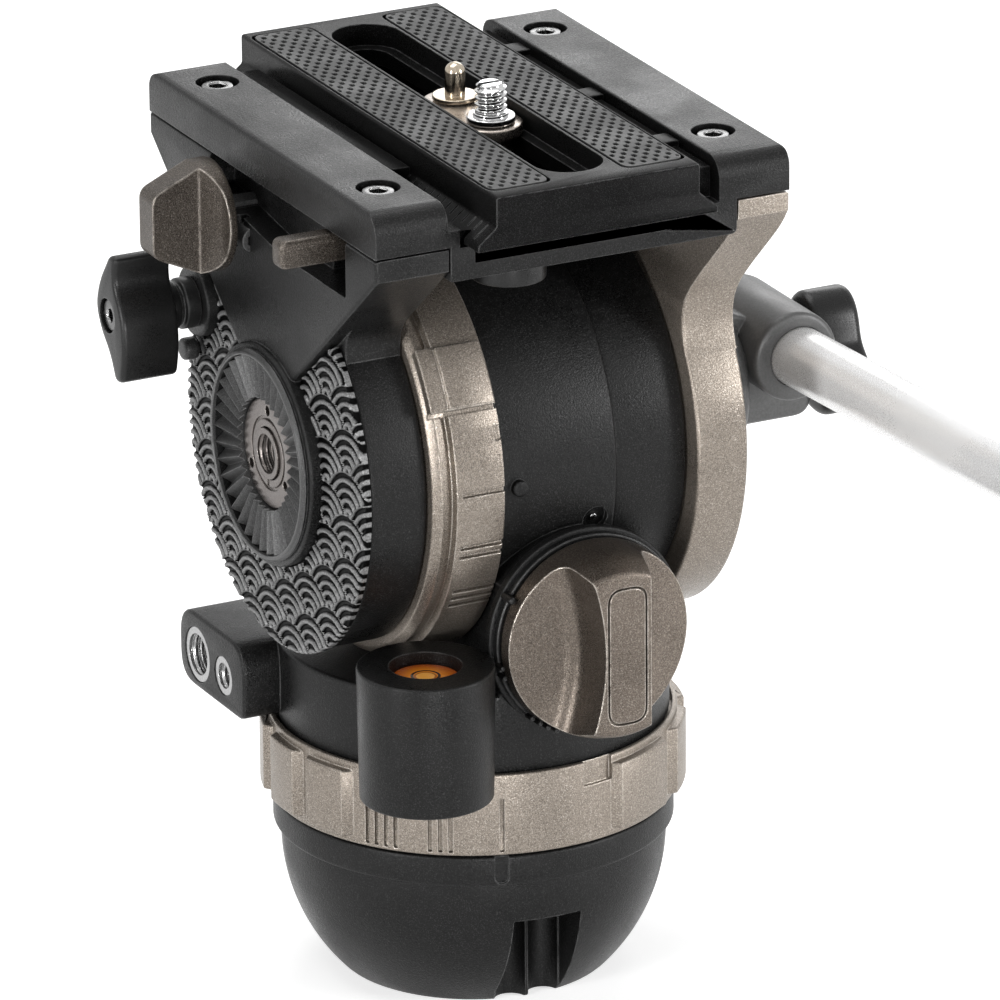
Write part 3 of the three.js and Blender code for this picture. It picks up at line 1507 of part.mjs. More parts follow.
function buildCarriage() {
  const c = carriage;
  const lowZ = slot.ledgeTopZ + seatGap;
  const footTop = slot.ledgeLowZ - seatGap;
  const inset = c.halfWidth - c.stemHalf;
  const body = join(
    prism(obround(c.halfWidth, c.nearY, c.farY), lowZ, c.topZ),
    prism(obround(c.stemHalf, c.nearY + inset, c.farY - inset), footTop - c.footThick / 2, lowZ + seatGap),
    prism(obround(c.footHalf, c.nearY + inset, c.farY - inset), footTop - c.footThick, footTop),
  );
  const hole = bar(cameraScrew.radius + seatGap, plate.lowZ - overrun, c.topZ + overrun);
  hole.translate(0, cameraScrew.y, 0);
  addPiece("screw_carriage", cut(body, hole), nickel, tilting);
  const washerLow = c.topZ + seatGap;
  const pin = locatePin;
  const pinLow = washerLow + pin.washerHeight;
  const pinTop = pinLow + pin.height;
  const profile = [
    [0, washerLow],
    [pin.washerRadius, washerLow],
    [pin.washerRadius, pinLow],
    [pin.radius, pinLow],
  ];
  for (let i = 0; i < pin.domeSteps; i += 1) {
    const angle = (i / pin.domeSteps) * (Math.PI / 2);
    profile.push([pin.radius * Math.cos(angle), pinTop - pin.dome * (1 - Math.sin(angle))]);
  }
  profile.push([0, pinTop]);
  addPiece("locating_pin", revolve(profile, "z", smallSides).translate(0, pin.y, 0), brass, tilting);
}

// Camera screw: a washer, a collar and a short stud with a driver slot
function buildCameraScrew() {
  const s = cameraScrew;
  const washerLow = carriage.topZ + seatGap;
  const collarLow = washerLow + s.knurlHeight;
  const threadLow = collarLow + s.collarHeight;
  const topZ = threadLow + s.threadHeight;
  const profile = [
    [0, s.stemLowZ],
    [s.radius, s.stemLowZ],
    [s.radius, washerLow],
    [s.knurlRadius, washerLow],
    [s.knurlRadius, collarLow],
    [s.collarRadius, collarLow],
    [s.collarRadius, threadLow],
    [s.radius, threadLow],
    [s.radius, topZ - s.lead],
    [s.radius - s.lead, topZ],
    [0, topZ],
  ];
  const half = s.slotWidth / 2;
  const reach = s.radius + overrun;
  const slotTool = box(-reach, reach, -half, half, topZ - s.slotDepth, topZ + overrun);
  const body = revolve(profile, "z", smallSides);
  addPiece("camera_screw", cut(body, slotTool), chromePlate, tilting, [0, s.y, 0]);
}

// Points of a rounded rectangle in a YZ plane, for lofts along X
function sectionRing(x, halfY, halfZ, round, y = 0, z = 0) {
  const points = [];
  const cornerSteps = 3;
  const corners = [
    [1, 1, 0],
    [-1, 1, 1],
    [-1, -1, 2],
    [1, -1, 3],
  ];
  for (const [sy, sz, quarter] of corners) {
    for (let i = 0; i <= cornerSteps; i += 1) {
      const angle = (quarter + i / cornerSteps) * (Math.PI / 2);
      points.push([
        x,
        y + sy * (halfY - round) + round * Math.cos(angle),
        z + sz * (halfZ - round) + round * Math.sin(angle),
      ]);
    }
  }
  return points;
}

// Shares of the clamp knob's root, crease, neck and tip
const wingShares = { root: 0.7, crease: 0.5, creaseHeight: 0.97, neck: 0.94, neckRound: 0.8 };
const wingTipShares = { half: 0.7, height: 0.88, round: 0.6, roundLimit: 0.9 };

// Clamp knob: a disc with a wing that narrows from a thick root over a crease to its tip
function buildClampKnob() {
  const k = clampKnob;
  const [share, tip] = [wingShares, wingTipShares];
  const disc = bar(k.discRadius, -k.discThick, 0, "x", midSides, breakEdge);
  const sections = [
    [-k.discThick / 2, k.discRadius * share.root, k.rootHalf, k.discThick],
    [-k.discThick - k.tipThick / 3, k.rootThick, k.rootHalf, k.tipThick],
    [-k.reach * share.crease, k.creaseThick, k.rootHalf * share.creaseHeight, k.tipThick],
    [-k.reach * share.neck, k.tipThick, k.tipHalf, k.tipThick * share.neckRound],
    [-k.reach, k.tipThick * tip.half, k.tipHalf * tip.height, k.tipThick * tip.round],
  ];
  const rings = sections.map(([x, halfY, halfZ, round]) => {
    return sectionRing(x, halfY, halfZ, Math.min(round, halfY * tip.roundLimit));
  });
  const wing = loft(rings);
  addPiece("clamp_knob", join(disc, wing), champagne, tilting, [k.discX, k.y, k.z]);
  const screw = bar(clampScrew.radius, 0, clampScrew.endX - k.discX - seatGap, "x");
  addPiece("clamp_screw", screw, steel, tilting, [k.discX + seatGap, k.y, k.z]);
}

function buildLever() {
  const l = lever;
  const bladeShape = roundedRectangle(l.tipX, l.lowZ, l.pivotX, l.topZ, l.corner);
  const blade = prism(bladeShape, l.pivotY - l.thick / 2, l.pivotY + l.thick / 2, "y", l.edge);
  const eye = bar(l.eyeRadius, l.lowZ, l.topZ).translate(l.pivotX, l.pivotY, 0);
  const hole = bar(l.pinRadius + runGap, l.lowZ - overrun, l.topZ + overrun).translate(l.pivotX, l.pivotY, 0);
  addPiece("release_lever", cut(join(blade, eye), hole), champagne, tilting);
  addPiece(
    "lever_pin",
    bar(l.pinRadius, armWindow.lowZ + seatGap, arm.seamZ, "z").translate(l.pivotX, l.pivotY, 0),
    steel,
    tilting,
  );
}

// End outline of the lock knob as shares of its half width and half height, operator's side first
const lockKnobShares = [
  [-0.62, 1, 0.16],
  [-0.16, 1, 0.16],
  [0.6, 0.5, 0.3],
  [0.9, 0.08, 0.3],
  [0.55, -0.3, 0.3],
  [-0.1, -0.6, 0.3],
  [-0.5, -1, 0.2],
  [-0.98, -0.95, 0.2],
  [-1.2, -0.45, 0.3],
  [-1.08, 0.12, 0.3],
  [-0.48, 0.55, 0.3],
];

function lockKnobOutline(halfWidth, halfHeight) {
  return outline(lockKnobShares.map(([u, v, round]) => [u * halfWidth, v * halfHeight, round * halfWidth]));
}

function buildLockKnob() {
  const k = lockKnob;
  const { length } = k;
  const wing = prism(lockKnobOutline(k.halfWidth, k.halfHeight), -length, 0, "x", breakEdge, knobSteps);
  const neck = bar(k.neckRadius, -length / 2, lockLug.faceX - k.backX - seatGap, "x");
  const seat = bar(k.screwRadius + seatGap, -length - overrun, k.seatDepth - length, "x");
  const bore = bar(clampScrew.radius + seatGap / 2, -length, lockLug.faceX - k.backX + overrun, "x");
  const body = cut(join(wing, neck), seat, bore);
  addPiece("tilt_lock_knob", body, blackPlastic, tilting, [k.backX, lockLug.y, lockLug.z]);
  const screw = socketScrew({
    headRadius: k.screwRadius,
    headHeight: k.headHeight,
    shankRadius: clampScrew.radius - seatGap / 2,
    length: length + lockLug.rootX - k.backX - 2 * overrun,
    hex: k.hex,
    hexDepth: k.hexDepth,
  });
  screw.rotateY(-Math.PI / 2);
  addPiece("tilt_lock_screw", screw, steel, tilting, [k.backX - length + k.screwInset, lockLug.y, lockLug.z]);
}

function buildPanLock() {
  const k = panLock;
  const group = new THREE.Group();
  group.rotation.z = k.angle;
  group.position.z = k.z;
  head.add(group);
  const plan = lockKnobOutline(lockKnob.halfWidth, lockKnob.halfHeight);
  const wing = prism(plan, k.wingStart, k.wingStart + k.length, "x", breakEdge, 1);
  wing.rotateX(Math.PI / 2);
  const neck = bar(k.neckRadius, k.neckStart, k.wingStart + k.length / 2, "x");
  const stem = bar(clampScrew.radius, k.stemInner, k.neckStart + overrun, "x");
  addPiece("pan_lock_knob", join(wing, neck, stem), blackPlastic, group);
}

// Pan handle: a clamp on the silver arm's rosette, with the tube in its side socket
function buildHandle() {
  const c = clamp;
  const hubBar = bar(clampRosette.radius, clampRosette.seatX + seatGap, c.hubRightX, "x", midSides, c.edge);
  const socket = bar(c.socketRadius, c.socketNearY, c.socketFarY, "y", midSides, c.edge);
  socket.translate(c.socketX, 0, c.socketZ);
  const web = prism(
    outline([
      [c.hubRightX - overrun, -c.webHalf],
      [c.faceX, -c.webHalf, c.webRound],
      [c.faceX, c.socketZ, c.edge],
      [c.hubRightX - overrun, c.socketZ + c.webHalf],
    ]),
    -c.webHalf,
    c.socketFarY,
    "y",
    c.edge / 2,
  );
  const bore = bar(tube.radius + seatGap, tube.startY - tube.length, tube.startY + seatGap, "y", midSides);
  bore.translate(0, -tube.startY, 0).rotateZ(tube.splay).translate(c.socketX, tube.startY, c.socketZ);
  const boltHole = bar(handleBolt.radius + seatGap, clampRosette.seatX - overrun, c.faceX + overrun, "x");
  addPiece("handle_clamp", cut(join(hubBar, socket, web), bore, boltHole), handleGrey, tilting);
  addPiece("clamp_rosette", toothedRing(clampRosette), steel, tilting);
  const handle = new THREE.Group();
  handle.position.set(c.socketX, tube.startY, c.socketZ);
  handle.rotation.z = tube.splay;
  tilting.add(handle);
  const pipe = ring(tube.radius - tube.wall, tube.radius, -tube.length, 0, "y");
  addPiece("handle_tube", pipe, handleSilver, handle);
  const gripEnd = -tube.length - grip.endRound;
  const gripStart = gripEnd + grip.length;
  const profile = [
    [tube.radius + seatGap, gripStart],
    [grip.neckRadius, gripStart],
    [grip.radius, gripStart - grip.endRound * 2],
  ];
  for (let i = 0; i < grip.ribs; i += 1) {
    const y = gripStart - grip.endRound * 3 - i * grip.ribPitch;
    profile.push([grip.radius, y], [grip.radius - grip.ribDepth, y - grip.ribDepth]);
    profile.push([grip.radius - grip.ribDepth, y - 2 * grip.ribDepth], [grip.radius, y - 3 * grip.ribDepth]);
  }
  profile.push(
    [grip.waistRadius, gripEnd + grip.length / 3],
    [grip.radius, gripEnd + grip.endRound],
    [grip.radius - grip.endRound / 2, gripEnd],
    [tube.radius + seatGap, gripEnd],
    [tube.radius + seatGap, gripStart],
  );
  addPiece("handle_grip", revolve(profile.reverse(), "y", gripSides), blackRubber, handle);
  const capStem = tube.radius - tube.wall - seatGap;
  const endCap = revolve(
    [
      [0, gripEnd - grip.endRound],
      [grip.capRadius, gripEnd - grip.endRound],
      [grip.radius - grip.endRound, gripEnd - seatGap],
      [capStem, gripEnd - seatGap],
      [capStem, -tube.length + grip.endRound * 2],
      [0, -tube.length + grip.endRound * 2],
    ],
    "y",
    smallSides,
  );
  addPiece("handle_end_cap", endCap, blackPlastic, handle);
}

function buildHandleKnob() {
  const k = handleKnob;
  const shape = new THREE.Shape();
  const steps = k.lobes * lobeSteps;
  for (let i = 0; i < steps; i += 1) {
    const angle = (i / steps) * 2 * Math.PI;
    const swell = (1 + Math.cos(k.lobes * (angle - Math.PI / 2))) / 2;
    const radius = k.rootRadius + (k.lobeRadius - k.rootRadius) * swell;
    const [y, z] = [radius * Math.cos(angle), radius * Math.sin(angle)];
    if (i === 0) shape.moveTo(y, z);
    else shape.lineTo(y, z);
  }
  shape.closePath();
  const startX = clamp.faceX + k.gap;
  const boltEnd = startX + k.length / 2;
  const lobes = prism(shape, startX, startX + k.length, "x", k.edge);
  const bore = bar(handleBolt.radius + seatGap, startX - overrun, boltEnd + seatGap, "x");
  addPiece("handle_knob", cut(lobes, bore), blackPlastic, tilting);
  const bolt = bar(handleBolt.radius, silver.outerX - handleBolt.depth, boltEnd, "x");
  addPiece("handle_bolt", bolt, steel, tilting);
}

buildBallBase();
buildPanRing();
buildBody();
buildDrum();
buildDial();
buildTiltRing();
buildBlackArm();
buildSilverArm();
buildPlatform();
buildMovingJaw();
buildPlate();
buildCarriage();
buildCameraScrew();
buildClampKnob();
buildLever();
buildLockKnob();
buildPanLock();
buildHandle();
buildHandleKnob();

export default head;
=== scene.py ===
# Fluid video head: the looks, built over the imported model. Shapes are given in millimetres.
import math

import bmesh
import bpy
import numpy as np
from mathutils import Matrix, Vector


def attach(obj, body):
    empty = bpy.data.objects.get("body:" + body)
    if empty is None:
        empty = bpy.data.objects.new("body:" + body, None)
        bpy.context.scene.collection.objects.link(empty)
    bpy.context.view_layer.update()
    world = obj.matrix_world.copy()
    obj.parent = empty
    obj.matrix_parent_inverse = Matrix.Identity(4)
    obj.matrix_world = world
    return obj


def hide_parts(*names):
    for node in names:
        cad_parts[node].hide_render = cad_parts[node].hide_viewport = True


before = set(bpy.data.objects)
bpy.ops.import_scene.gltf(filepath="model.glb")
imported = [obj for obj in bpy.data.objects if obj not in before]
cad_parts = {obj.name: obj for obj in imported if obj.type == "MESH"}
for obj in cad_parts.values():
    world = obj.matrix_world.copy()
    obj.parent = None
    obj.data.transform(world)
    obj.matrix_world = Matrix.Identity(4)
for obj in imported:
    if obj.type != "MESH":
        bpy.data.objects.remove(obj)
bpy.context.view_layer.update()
scene = bpy.context.scene
mm = 0.001
tau = 2 * math.pi
print("frame loaded:", len(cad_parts), "nodes")

# The camera stands where the photograph was taken from
camera = {
    "place": (-873.146, -1765.115, 806.540), "azimuth": -26.4843, "elevation": 20.5899, "roll": -0.45028,
    "lens": 393.093, "sensor": 36,
}


# Right and up of the view from azimuth and elevation, then both turned by the roll
def placeCamera(spec):
    azimuth = math.radians(spec["azimuth"])
    elevation = math.radians(spec["elevation"])
    roll = math.radians(spec["roll"])
    forward = Vector((
        -math.sin(azimuth) * math.cos(elevation), math.cos(azimuth) * math.cos(elevation),
        -math.sin(elevation)
    ))
    level = Vector((math.cos(azimuth), math.sin(azimuth), 0))
    upright = level.cross(forward)
    right = level * math.cos(roll) + upright * math.sin(roll)
    up = upright * math.cos(roll) - level * math.sin(roll)
    data = bpy.data.cameras.new("camera")
    data.lens = spec["lens"]
    data.sensor_width = spec["sensor"]
    data.clip_end = 20
    body = bpy.data.objects.new("camera", data)
    turn = Matrix((right, up, -forward)).transposed().to_4x4()
    body.matrix_world = Matrix.Translation(Vector(spec["place"]) * mm) @ turn
    scene.collection.objects.link(body)
    scene.camera = body


placeCamera(camera)
scene.view_settings.view_transform = "Standard"


# A wire is one socket of a node tree: sums on wires add Math nodes
class Wire:
    def __init__(self, finish, socket):
        self.finish = finish
        self.socket = socket

    def combine(self, operation, first, second):
        return self.finish.combine(operation, first, second)

    def __add__(self, other):
        return self.combine("ADD", self, other)

    def __radd__(self, other):
        return self.combine("ADD", other, self)

    def __sub__(self, other):
        return self.combine("SUBTRACT", self, other)

    def __rsub__(self, other):
        return self.combine("SUBTRACT", other, self)

    def __mul__(self, other):
        return self.combine("MULTIPLY", self, other)

    def __rmul__(self, other):
        return self.combine("MULTIPLY", other, self)

    def __truediv__(self, other):
        return self.combine("DIVIDE", self, other)

    def __mod__(self, other):
        return self.combine("FLOORED_MODULO", self, other)

    def __pow__(self, other):
        return self.combine("POWER", self, other)

    def __gt__(self, other):
        return self.combine("GREATER_THAN", self, other)

    def __abs__(self):
        return self.combine("ABSOLUTE", self, 0)

    # A smooth step from 0 at low to 1 at high
    def rise(self, low, high):
        settings = {"interpolation_type": "SMOOTHSTEP"}
        return self.finish.node("MapRange", settings, {0: self, 1: low, 2: high})


# A material under construction: its node tree, its shader and the place in millimetres
class Finish:
    def __init__(self, name, tree=None, shader=None):
        if tree is None:
            self.material = bpy.data.materials.new(name)
            self.material.use_nodes = True
            tree = self.material.node_tree
            shader = tree.nodes["Principled BSDF"]
        self.tree = tree
        self.shader = shader
        place = self.node("TexCoord", {}, {}, "Object")
        self.place = self.node("VectorMath", {"operation": "SCALE"}, {0: place, "Scale": 1 / mm})

    # Wires are linked to the sockets, plain values are written into them
    def fill(self, sockets, inputs):
        for key, value in inputs.items():
            if isinstance(value, Wire):
                self.tree.links.new(value.socket, sockets[key])
            else:
                sockets[key].default_value = value

    # Any node: its settings are set first, then the values or wires of its sockets
    def node(self, kind, settings, inputs, output=0):
        made = self.tree.nodes.new("ShaderNode" + kind)
        for key, value in settings.items():
            setattr(made, key, value)
        self.fill(made.inputs, inputs)
        return Wire(self, made.outputs[output])

    def noise(self, size, detail=2):
        inputs = {"Vector": self.place, "Scale": 1 / size, "Detail": detail}
        return self.node("TexNoise", {"noise_dimensions": "3D"}, inputs)

    def blend(self, factor, first, second):
        return self.node("Mix", {"data_type": "RGBA"}, {"Factor": factor, 6: first, 7: second}, 2)

    def bump(self, height, depth, strength=0.9, **inputs):
        inputs = {"Strength": strength, "Distance": depth * mm, "Height": height, **inputs}
        return self.node("Bump", {}, inputs)

    def parts(self):
        return [self.node("SeparateXYZ", {}, {0: self.place}, i) for i in range(3)]

    # 1 for rays from the camera, off shiny things and through clear ones, 0 for all others
    def seen(self):
        kinds = ("Camera", "Glossy", "Transmission")
        eye, shiny, through = [self.node("LightPath", {}, {}, f"Is {kind} Ray") for kind in kinds]
        return self.combine("MAXIMUM", self.combine("MAXIMUM", eye, shiny), through)

    def combine(self, operation, first, second):
        return self.node("Math", {"operation": operation}, {0: first, 1: second})

    # Normals rounded over the edges, and a mask that is 1 on an edge and 0 on a face
    def softEdges(self, radius):
        rounded = self.node("Bevel", {"samples": 4}, {"Radius": radius * mm})
        flat = self.node("NewGeometry", {}, {}, "Normal")
        facing = self.node("VectorMath", {"operation": "DOT_PRODUCT"}, {0: rounded, 1: flat}, "Value")
        return rounded, (1 - facing).rise(0.004, 0.1)

    def set(self, inputs):
        self.fill(self.shader.inputs, inputs)


# One number stands for a grey, three for a colour
def colour(tone):
    return (*tone, 1) if isinstance(tone, tuple) else (tone, tone, tone, 1)


# What a user would change of each finish. Colours are linear, sizes in millimetres: grain is the size of
# the fine bumps, depth their height, glint the share of grains painted pale as glints, rough the roughness
# and its spread, edge the width of the rounded edges, painted pale partly as wear and partly as a painted
# highlight, in the worn and lit colour that the glints take too. What a finish leaves out is as in usual.
usual = {
    "glint": 0, "grain": 0.3, "depth": 0.004, "metal": 1, "shine": 0.5, "rough": (0.34, 0.12), "edge": 0.25,
    "wornAndLit": 0.75, "wearAndHighlight": 1, "cloud": 8,
}
finishes = {
    "casting": {
        "glint": 0.13, "dark": 0.002, "light": 0.008, "grain": 0.40, "depth": 0.085, "metal": 0,
        "shine": 0.20, "rough": (0.36, 0.14), "edge": 0.35, "wornAndLit": 0.16, "wearAndHighlight": 0.75, "cloud": 18,
    },
    "smoothBlack": {
        "glint": 0.1, "dark": 0.0025, "light": 0.007, "depth": 0.03, "metal": 0, "shine": 0.05,
        "edge": 0.35, "wornAndLit": 0.20, "wearAndHighlight": 0.75, "cloud": 25,
    },
    "champagne": {
        "glint": 0.4, "dark": (0.128, 0.109, 0.091), "light": (0.30, 0.260, 0.220), "grain": 0.36,
        "depth": 0.045, "metal": 0.72, "shine": 0.4, "rough": (0.36, 0.16), "edge": 0.4,
        "wornAndLit": (0.66, 0.61, 0.55), "wearAndHighlight": 0.8, "cloud": 30,
    },
    "dialPaint": {
        "glint": 0.2, "dark": (0.054, 0.044, 0.036), "light": (0.180, 0.149, 0.124), "grain": 0.34,
        "depth": 0.05, "metal": 0.75, "shine": 0.35, "rough": (0.33, 0.12), "edge": 0.45,
        "wornAndLit": (0.60, 0.55, 0.49), "cloud": 22,
    },
    "bronze": {
        "glint": 0.3, "dark": (0.024, 0.020, 0.016), "light": (0.098, 0.081, 0.067), "grain": 0.34,
        "depth": 0.06, "metal": 0.5, "shine": 0.3, "rough": (0.34, 0.14), "edge": 0.6,
        "wornAndLit": (0.42, 0.38, 0.34), "cloud": 22,
    },
    "screwSteel": {"dark": 0.10, "light": 0.20, "grain": 0.5, "rough": (0.26, 0.1), "cloud": 3},
    "darkGrey": {
        "glint": 0.22, "dark": 0.022, "light": 0.085, "depth": 0.03, "metal": 0.4, "shine": 0.25,
        "rough": (0.40, 0.1), "edge": 0.2, "wornAndLit": 0.28, "wearAndHighlight": 0.6, "cloud": 16,
    },
    "rimGrey": {
        "glint": 0.15, "dark": 0.03, "light": 0.07, "depth": 0.03, "metal": 0.3, "shine": 0.4,
        "rough": (0.38, 0.1), "wornAndLit": 0.32, "wearAndHighlight": 0.8, "cloud": 16,
    },
    "hubGrey": {
        "glint": 0.12, "dark": (0.105, 0.092, 0.086), "light": (0.185, 0.166, 0.157), "metal": 0.9,
        "rough": (0.30, 0.1), "wornAndLit": (0.5, 0.47, 0.44), "wearAndHighlight": 0.6,
    },
    "steel": {
        "dark": 0.30, "light": 0.46, "grain": 0.5, "rough": (0.24, 0.1), "edge": 0.2, "wearAndHighlight": 0.3,
        "cloud": 9,
    },
    "chrome": {
        "dark": 0.52, "light": 0.66, "grain": 0.6, "depth": 0.001, "rough": (0.08, 0.04), "edge": 0.12,
        "wornAndLit": 0.9, "wearAndHighlight": 0.2, "cloud": 6,
    },
    "nickel": {
        "glint": 0.08, "dark": (0.33, 0.29, 0.255), "light": (0.46, 0.41, 0.365), "metal": 0.95,
        "rough": (0.27, 0.1), "wornAndLit": (0.8, 0.74, 0.68), "wearAndHighlight": 0.5,
    },
    "brass": {
        "dark": (0.38, 0.32, 0.25), "light": (0.54, 0.47, 0.38), "grain": 0.4, "depth": 0.002,
        "rough": (0.15, 0.07), "edge": 0.15, "wornAndLit": (0.85, 0.76, 0.58), "wearAndHighlight": 0.3, "cloud": 5,
    },
    "rubber": {
        "glint": 0.1, "dark": 0.025, "light": 0.05, "grain": 0.22, "depth": 0.02, "metal": 0, "shine": 0.3,
        "rough": (0.62, 0.12), "edge": 0.15, "wornAndLit": 0.13, "wearAndHighlight": 0.4, "cloud": 14,
    },
    "plastic": {
        "glint": 0.05, "dark": 0.004, "light": 0.010, "depth": 0.02, "metal": 0, "shine": 0.28, "edge": 0.4,
        "wornAndLit": 0.2, "wearAndHighlight": 0.9, "cloud": 20,
    },
    "handleGrey": {
        "glint": 0.05, "dark": 0.06, "light": 0.095, "grain": 0.5, "depth": 0.012, "metal": 0.1,
        "shine": 0.4, "rough": (0.40, 0.12), "edge": 0.5, "wornAndLit": 0.2, "wearAndHighlight": 0.4, "cloud": 20,
    },
    "tube": {
        "dark": 0.84, "light": 0.91, "metal": 0.35, "rough": (0.3, 0.1), "edge": 0.2, "wornAndLit": 0.88,
        "wearAndHighlight": 0.2, "cloud": 22,
    },
}


# Colour from a fine grain over slow clouds with painted glints, roughness from another grain, edges rounded
# and painted paler, partly as wear and partly as a painted highlight
def makeFinish(name, spec):
    made = Finish(name)
    grain = made.noise(spec["grain"], 3)
    cloud = made.noise(spec["cloud"], 4)
    speckle = made.noise(spec["grain"] * 0.6, 1)
    tone = grain.rise(0.3, 0.7) * 0.55 + speckle.rise(0.35, 0.65) * 0.25 + cloud.rise(0.3, 0.7) * 0.2
    rounded, rim = made.softEdges(spec["edge"])
    # painted glints: a share of fine grains takes the pale edge colour, standing in for sparkle
    glint = made.noise(spec["grain"] * 0.55, 0).rise(0.60, 0.72) * spec["glint"]
    wornAndLit = colour(spec["wornAndLit"])
    face = made.blend(glint, made.blend(tone, colour(spec["dark"]), colour(spec["light"])), wornAndLit)
    # edges painted pale, partly as wear and partly as a painted highlight on the rounded edges
    wornAndLitEdges = rim * made.noise(spec["grain"] * 5, 3).rise(0.25, 0.6) * spec["wearAndHighlight"]
    low, spread = spec["rough"]
    spots = speckle.rise(0.3, 0.7) + cloud.rise(0.35, 0.65) - 1
    made.set({
        "Base Color": made.blend(wornAndLitEdges, face, wornAndLit), "Metallic": spec["metal"],
        "Specular IOR Level": spec["shine"], "Roughness": low + spread * spots - wornAndLitEdges * (low * 0.25),
        "Normal": made.bump(grain + 0.6 * speckle, spec["depth"], Normal=rounded),
    })
    return made


ready = {name: makeFinish(name, {**usual, **spec}) for name, spec in finishes.items()}

# The vial: amber spirit under glass with painted shade towards its rim, a bubble with a painted highlight
# and painted shade round it, and its target ring. It glows a little: painted light.
# rim and shade are colours of painted shade, glow is the colour of the bubble's painted highlight
vialLook = {
    "x": -30.5, "y": -41.8, "radius": 6.6, "ring": 2.6, "line": 0.28, "bubble": (-0.2, -0.3, 2.0),
    "amber": (0.93, 0.30, 0.012), "rim": (0.42, 0.075, 0.004), "glow": (1.0, 0.55, 0.12),
    "shade": (0.25, 0.05, 0.004), "mark": (0.02, 0.008, 0.004),
}


def makeVialFinish(spec):
    made = Finish("vial")
    x, y, z = made.parts()
    across = x - spec["x"]
    along = y - spec["y"]
    far = (across**2 + along**2) ** 0.5
    target = 1 - abs(far - spec["ring"]).rise(spec["line"] * 0.7, spec["line"] * 1.3)
    bx, by, br = spec["bubble"]
    bubble = ((across - bx) ** 2 + (along - by) ** 2) ** 0.5
    inside = 1 - bubble.rise(br - 0.25, br)
    rim = 1 - abs(bubble - br).rise(0.1, 0.35)
    # painted shade: the spirit darkens towards the rim of the vial
    shadedToRim = made.blend(far.rise(1.5, spec["radius"]), colour(spec["amber"]), colour(spec["rim"]))
    # painted highlight: the bubble is painted paler than the spirit
    bubbleLit = made.blend(inside * 0.55, shadedToRim, colour(spec["glow"]))
    # painted shade round the edge of the bubble
    lined = made.blend(rim * 0.7, bubbleLit, colour(spec["shade"]))
    marked = made.blend(target, lined, colour(spec["mark"]))
    # the spirit glows a little through its emission: painted light, the vial is no lamp
    made.set({
        "Base Color": marked, "Emission Color": marked, "Emission Strength": 0.25, "Roughness": 0.06,
        "Coat Weight": 1.0, "Coat Roughness": 0.03,
    })
    return made


ready["vial"] = makeVialFinish(vialLook)
print("finishes made:", len(ready))

# Soft studio light: panels on both sides, above and behind, a pale world and a pale floor. World and
# floor are white to the camera and in reflections, and light the object less than that.
light = {
    "world": 0.17,
    "panels": {
        "left": {"at": (-1100, -450, 260), "size": (220, 700), "power": 8.5},
        "right": {"at": (900, -900, 260), "size": (240, 700), "power": 12},
        "top": {"at": (-100, 250, 1100), "size": (900, 700), "power": 6},
        "front": {"at": (-330, -1500, 60), "size": (200, 160), "power": 7.5},
        "back": {"at": (440, 560, 400), "size": (420, 300), "power": 1.1},
    },
    "aim": (0, 0, 60), "floor": {"z": -26.45, "reach": 6000, "colour": 0.85, "glow": 0.03, "seen": 0.62},
}


def placeLights(spec):
    for name, panel in spec["panels"].items():
        data = bpy.data.lights.new(name, "AREA")
        data.shape = "RECTANGLE"
        data.size = panel["size"][0] * mm
        data.size_y = panel["size"][1] * mm
        data.energy = panel["power"]
        lamp = bpy.data.objects.new(name, data)
        at = Vector(panel["at"]) * mm
        lamp.location = at
        lamp.rotation_euler = (Vector(spec["aim"]) * mm - at).to_track_quat("-Z", "Y").to_euler()
        scene.collection.objects.link(lamp)
    world = bpy.data.worlds.new("studio")
    world.use_nodes = True
    scene.world = world
    air = Finish("studioAir", world.node_tree, world.node_tree.nodes["Background"])
    air.set({"Color": colour(1), "Strength": air.seen() * (1 - spec["world"]) + spec["world"]})


def layFloor(spec):
    reach = spec["reach"]
    corners = [(-reach, -reach), (reach, -reach), (reach, reach), (-reach, reach)]
    data = bpy.data.meshes.new("floor")
    data.from_pydata([(x * mm, y * mm, spec["z"] * mm) for x, y in corners], [], [(0, 1, 2, 3)])
    floor = bpy.data.objects.new("floor", data)
    scene.collection.objects.link(floor)
    made = Finish("floorPaint")
    made.set({
        "Base Color": colour(spec["colour"]), "Roughness": 0.9, "Specular IOR Level": 0.1,
        "Emission Color": made.blend(made.seen(), colour(spec["glow"]), colour(spec["seen"])),
        "Emission Strength": 1,
    })
    data.materials.append(made.material)


placeLights(light)
layFloor(light["floor"])
print("camera, light and floor placed")

# A shape is an array of points in millimetres and a list of faces. Grids of points are worked out
# as whole arrays: rows go along a path or round an axis, columns go round a profile or outline.


# Joins neighbouring points of a grid in fours, round either way where it is closed
def gridFaces(rows, columns, closeRows=False, closeColumns=False):
    i = np.arange(rows if closeRows else rows - 1)[:, None]
    k = np.arange(columns if closeColumns else columns - 1)[None, :]
    after, beside = (i + 1) % rows, (k + 1) % columns
    four = [i * columns + k, after * columns + k, after * columns + beside, i * columns + beside]
    return np.stack(np.broadcast_arrays(*four), -1).reshape(-1, 4).tolist()


# Height goes along the axis, and the other two follow in the order x, y, z
def alongAxis(height, first, second, axis):
    order = {"x": (height, first, second), "y": (second, height, first), "z": (first, second, height)}
    return np.stack(order[axis], -1)


# Points at a reach and an angle: r cos t, r sin t
def polar(reach, angle):
    return np.stack([reach * np.cos(angle), reach * np.sin(angle)], -1)


# Equal steps of a full turn, one to each row of a grid
def fullTurn(count):
    return tau * np.arange(count)[:, None] / count


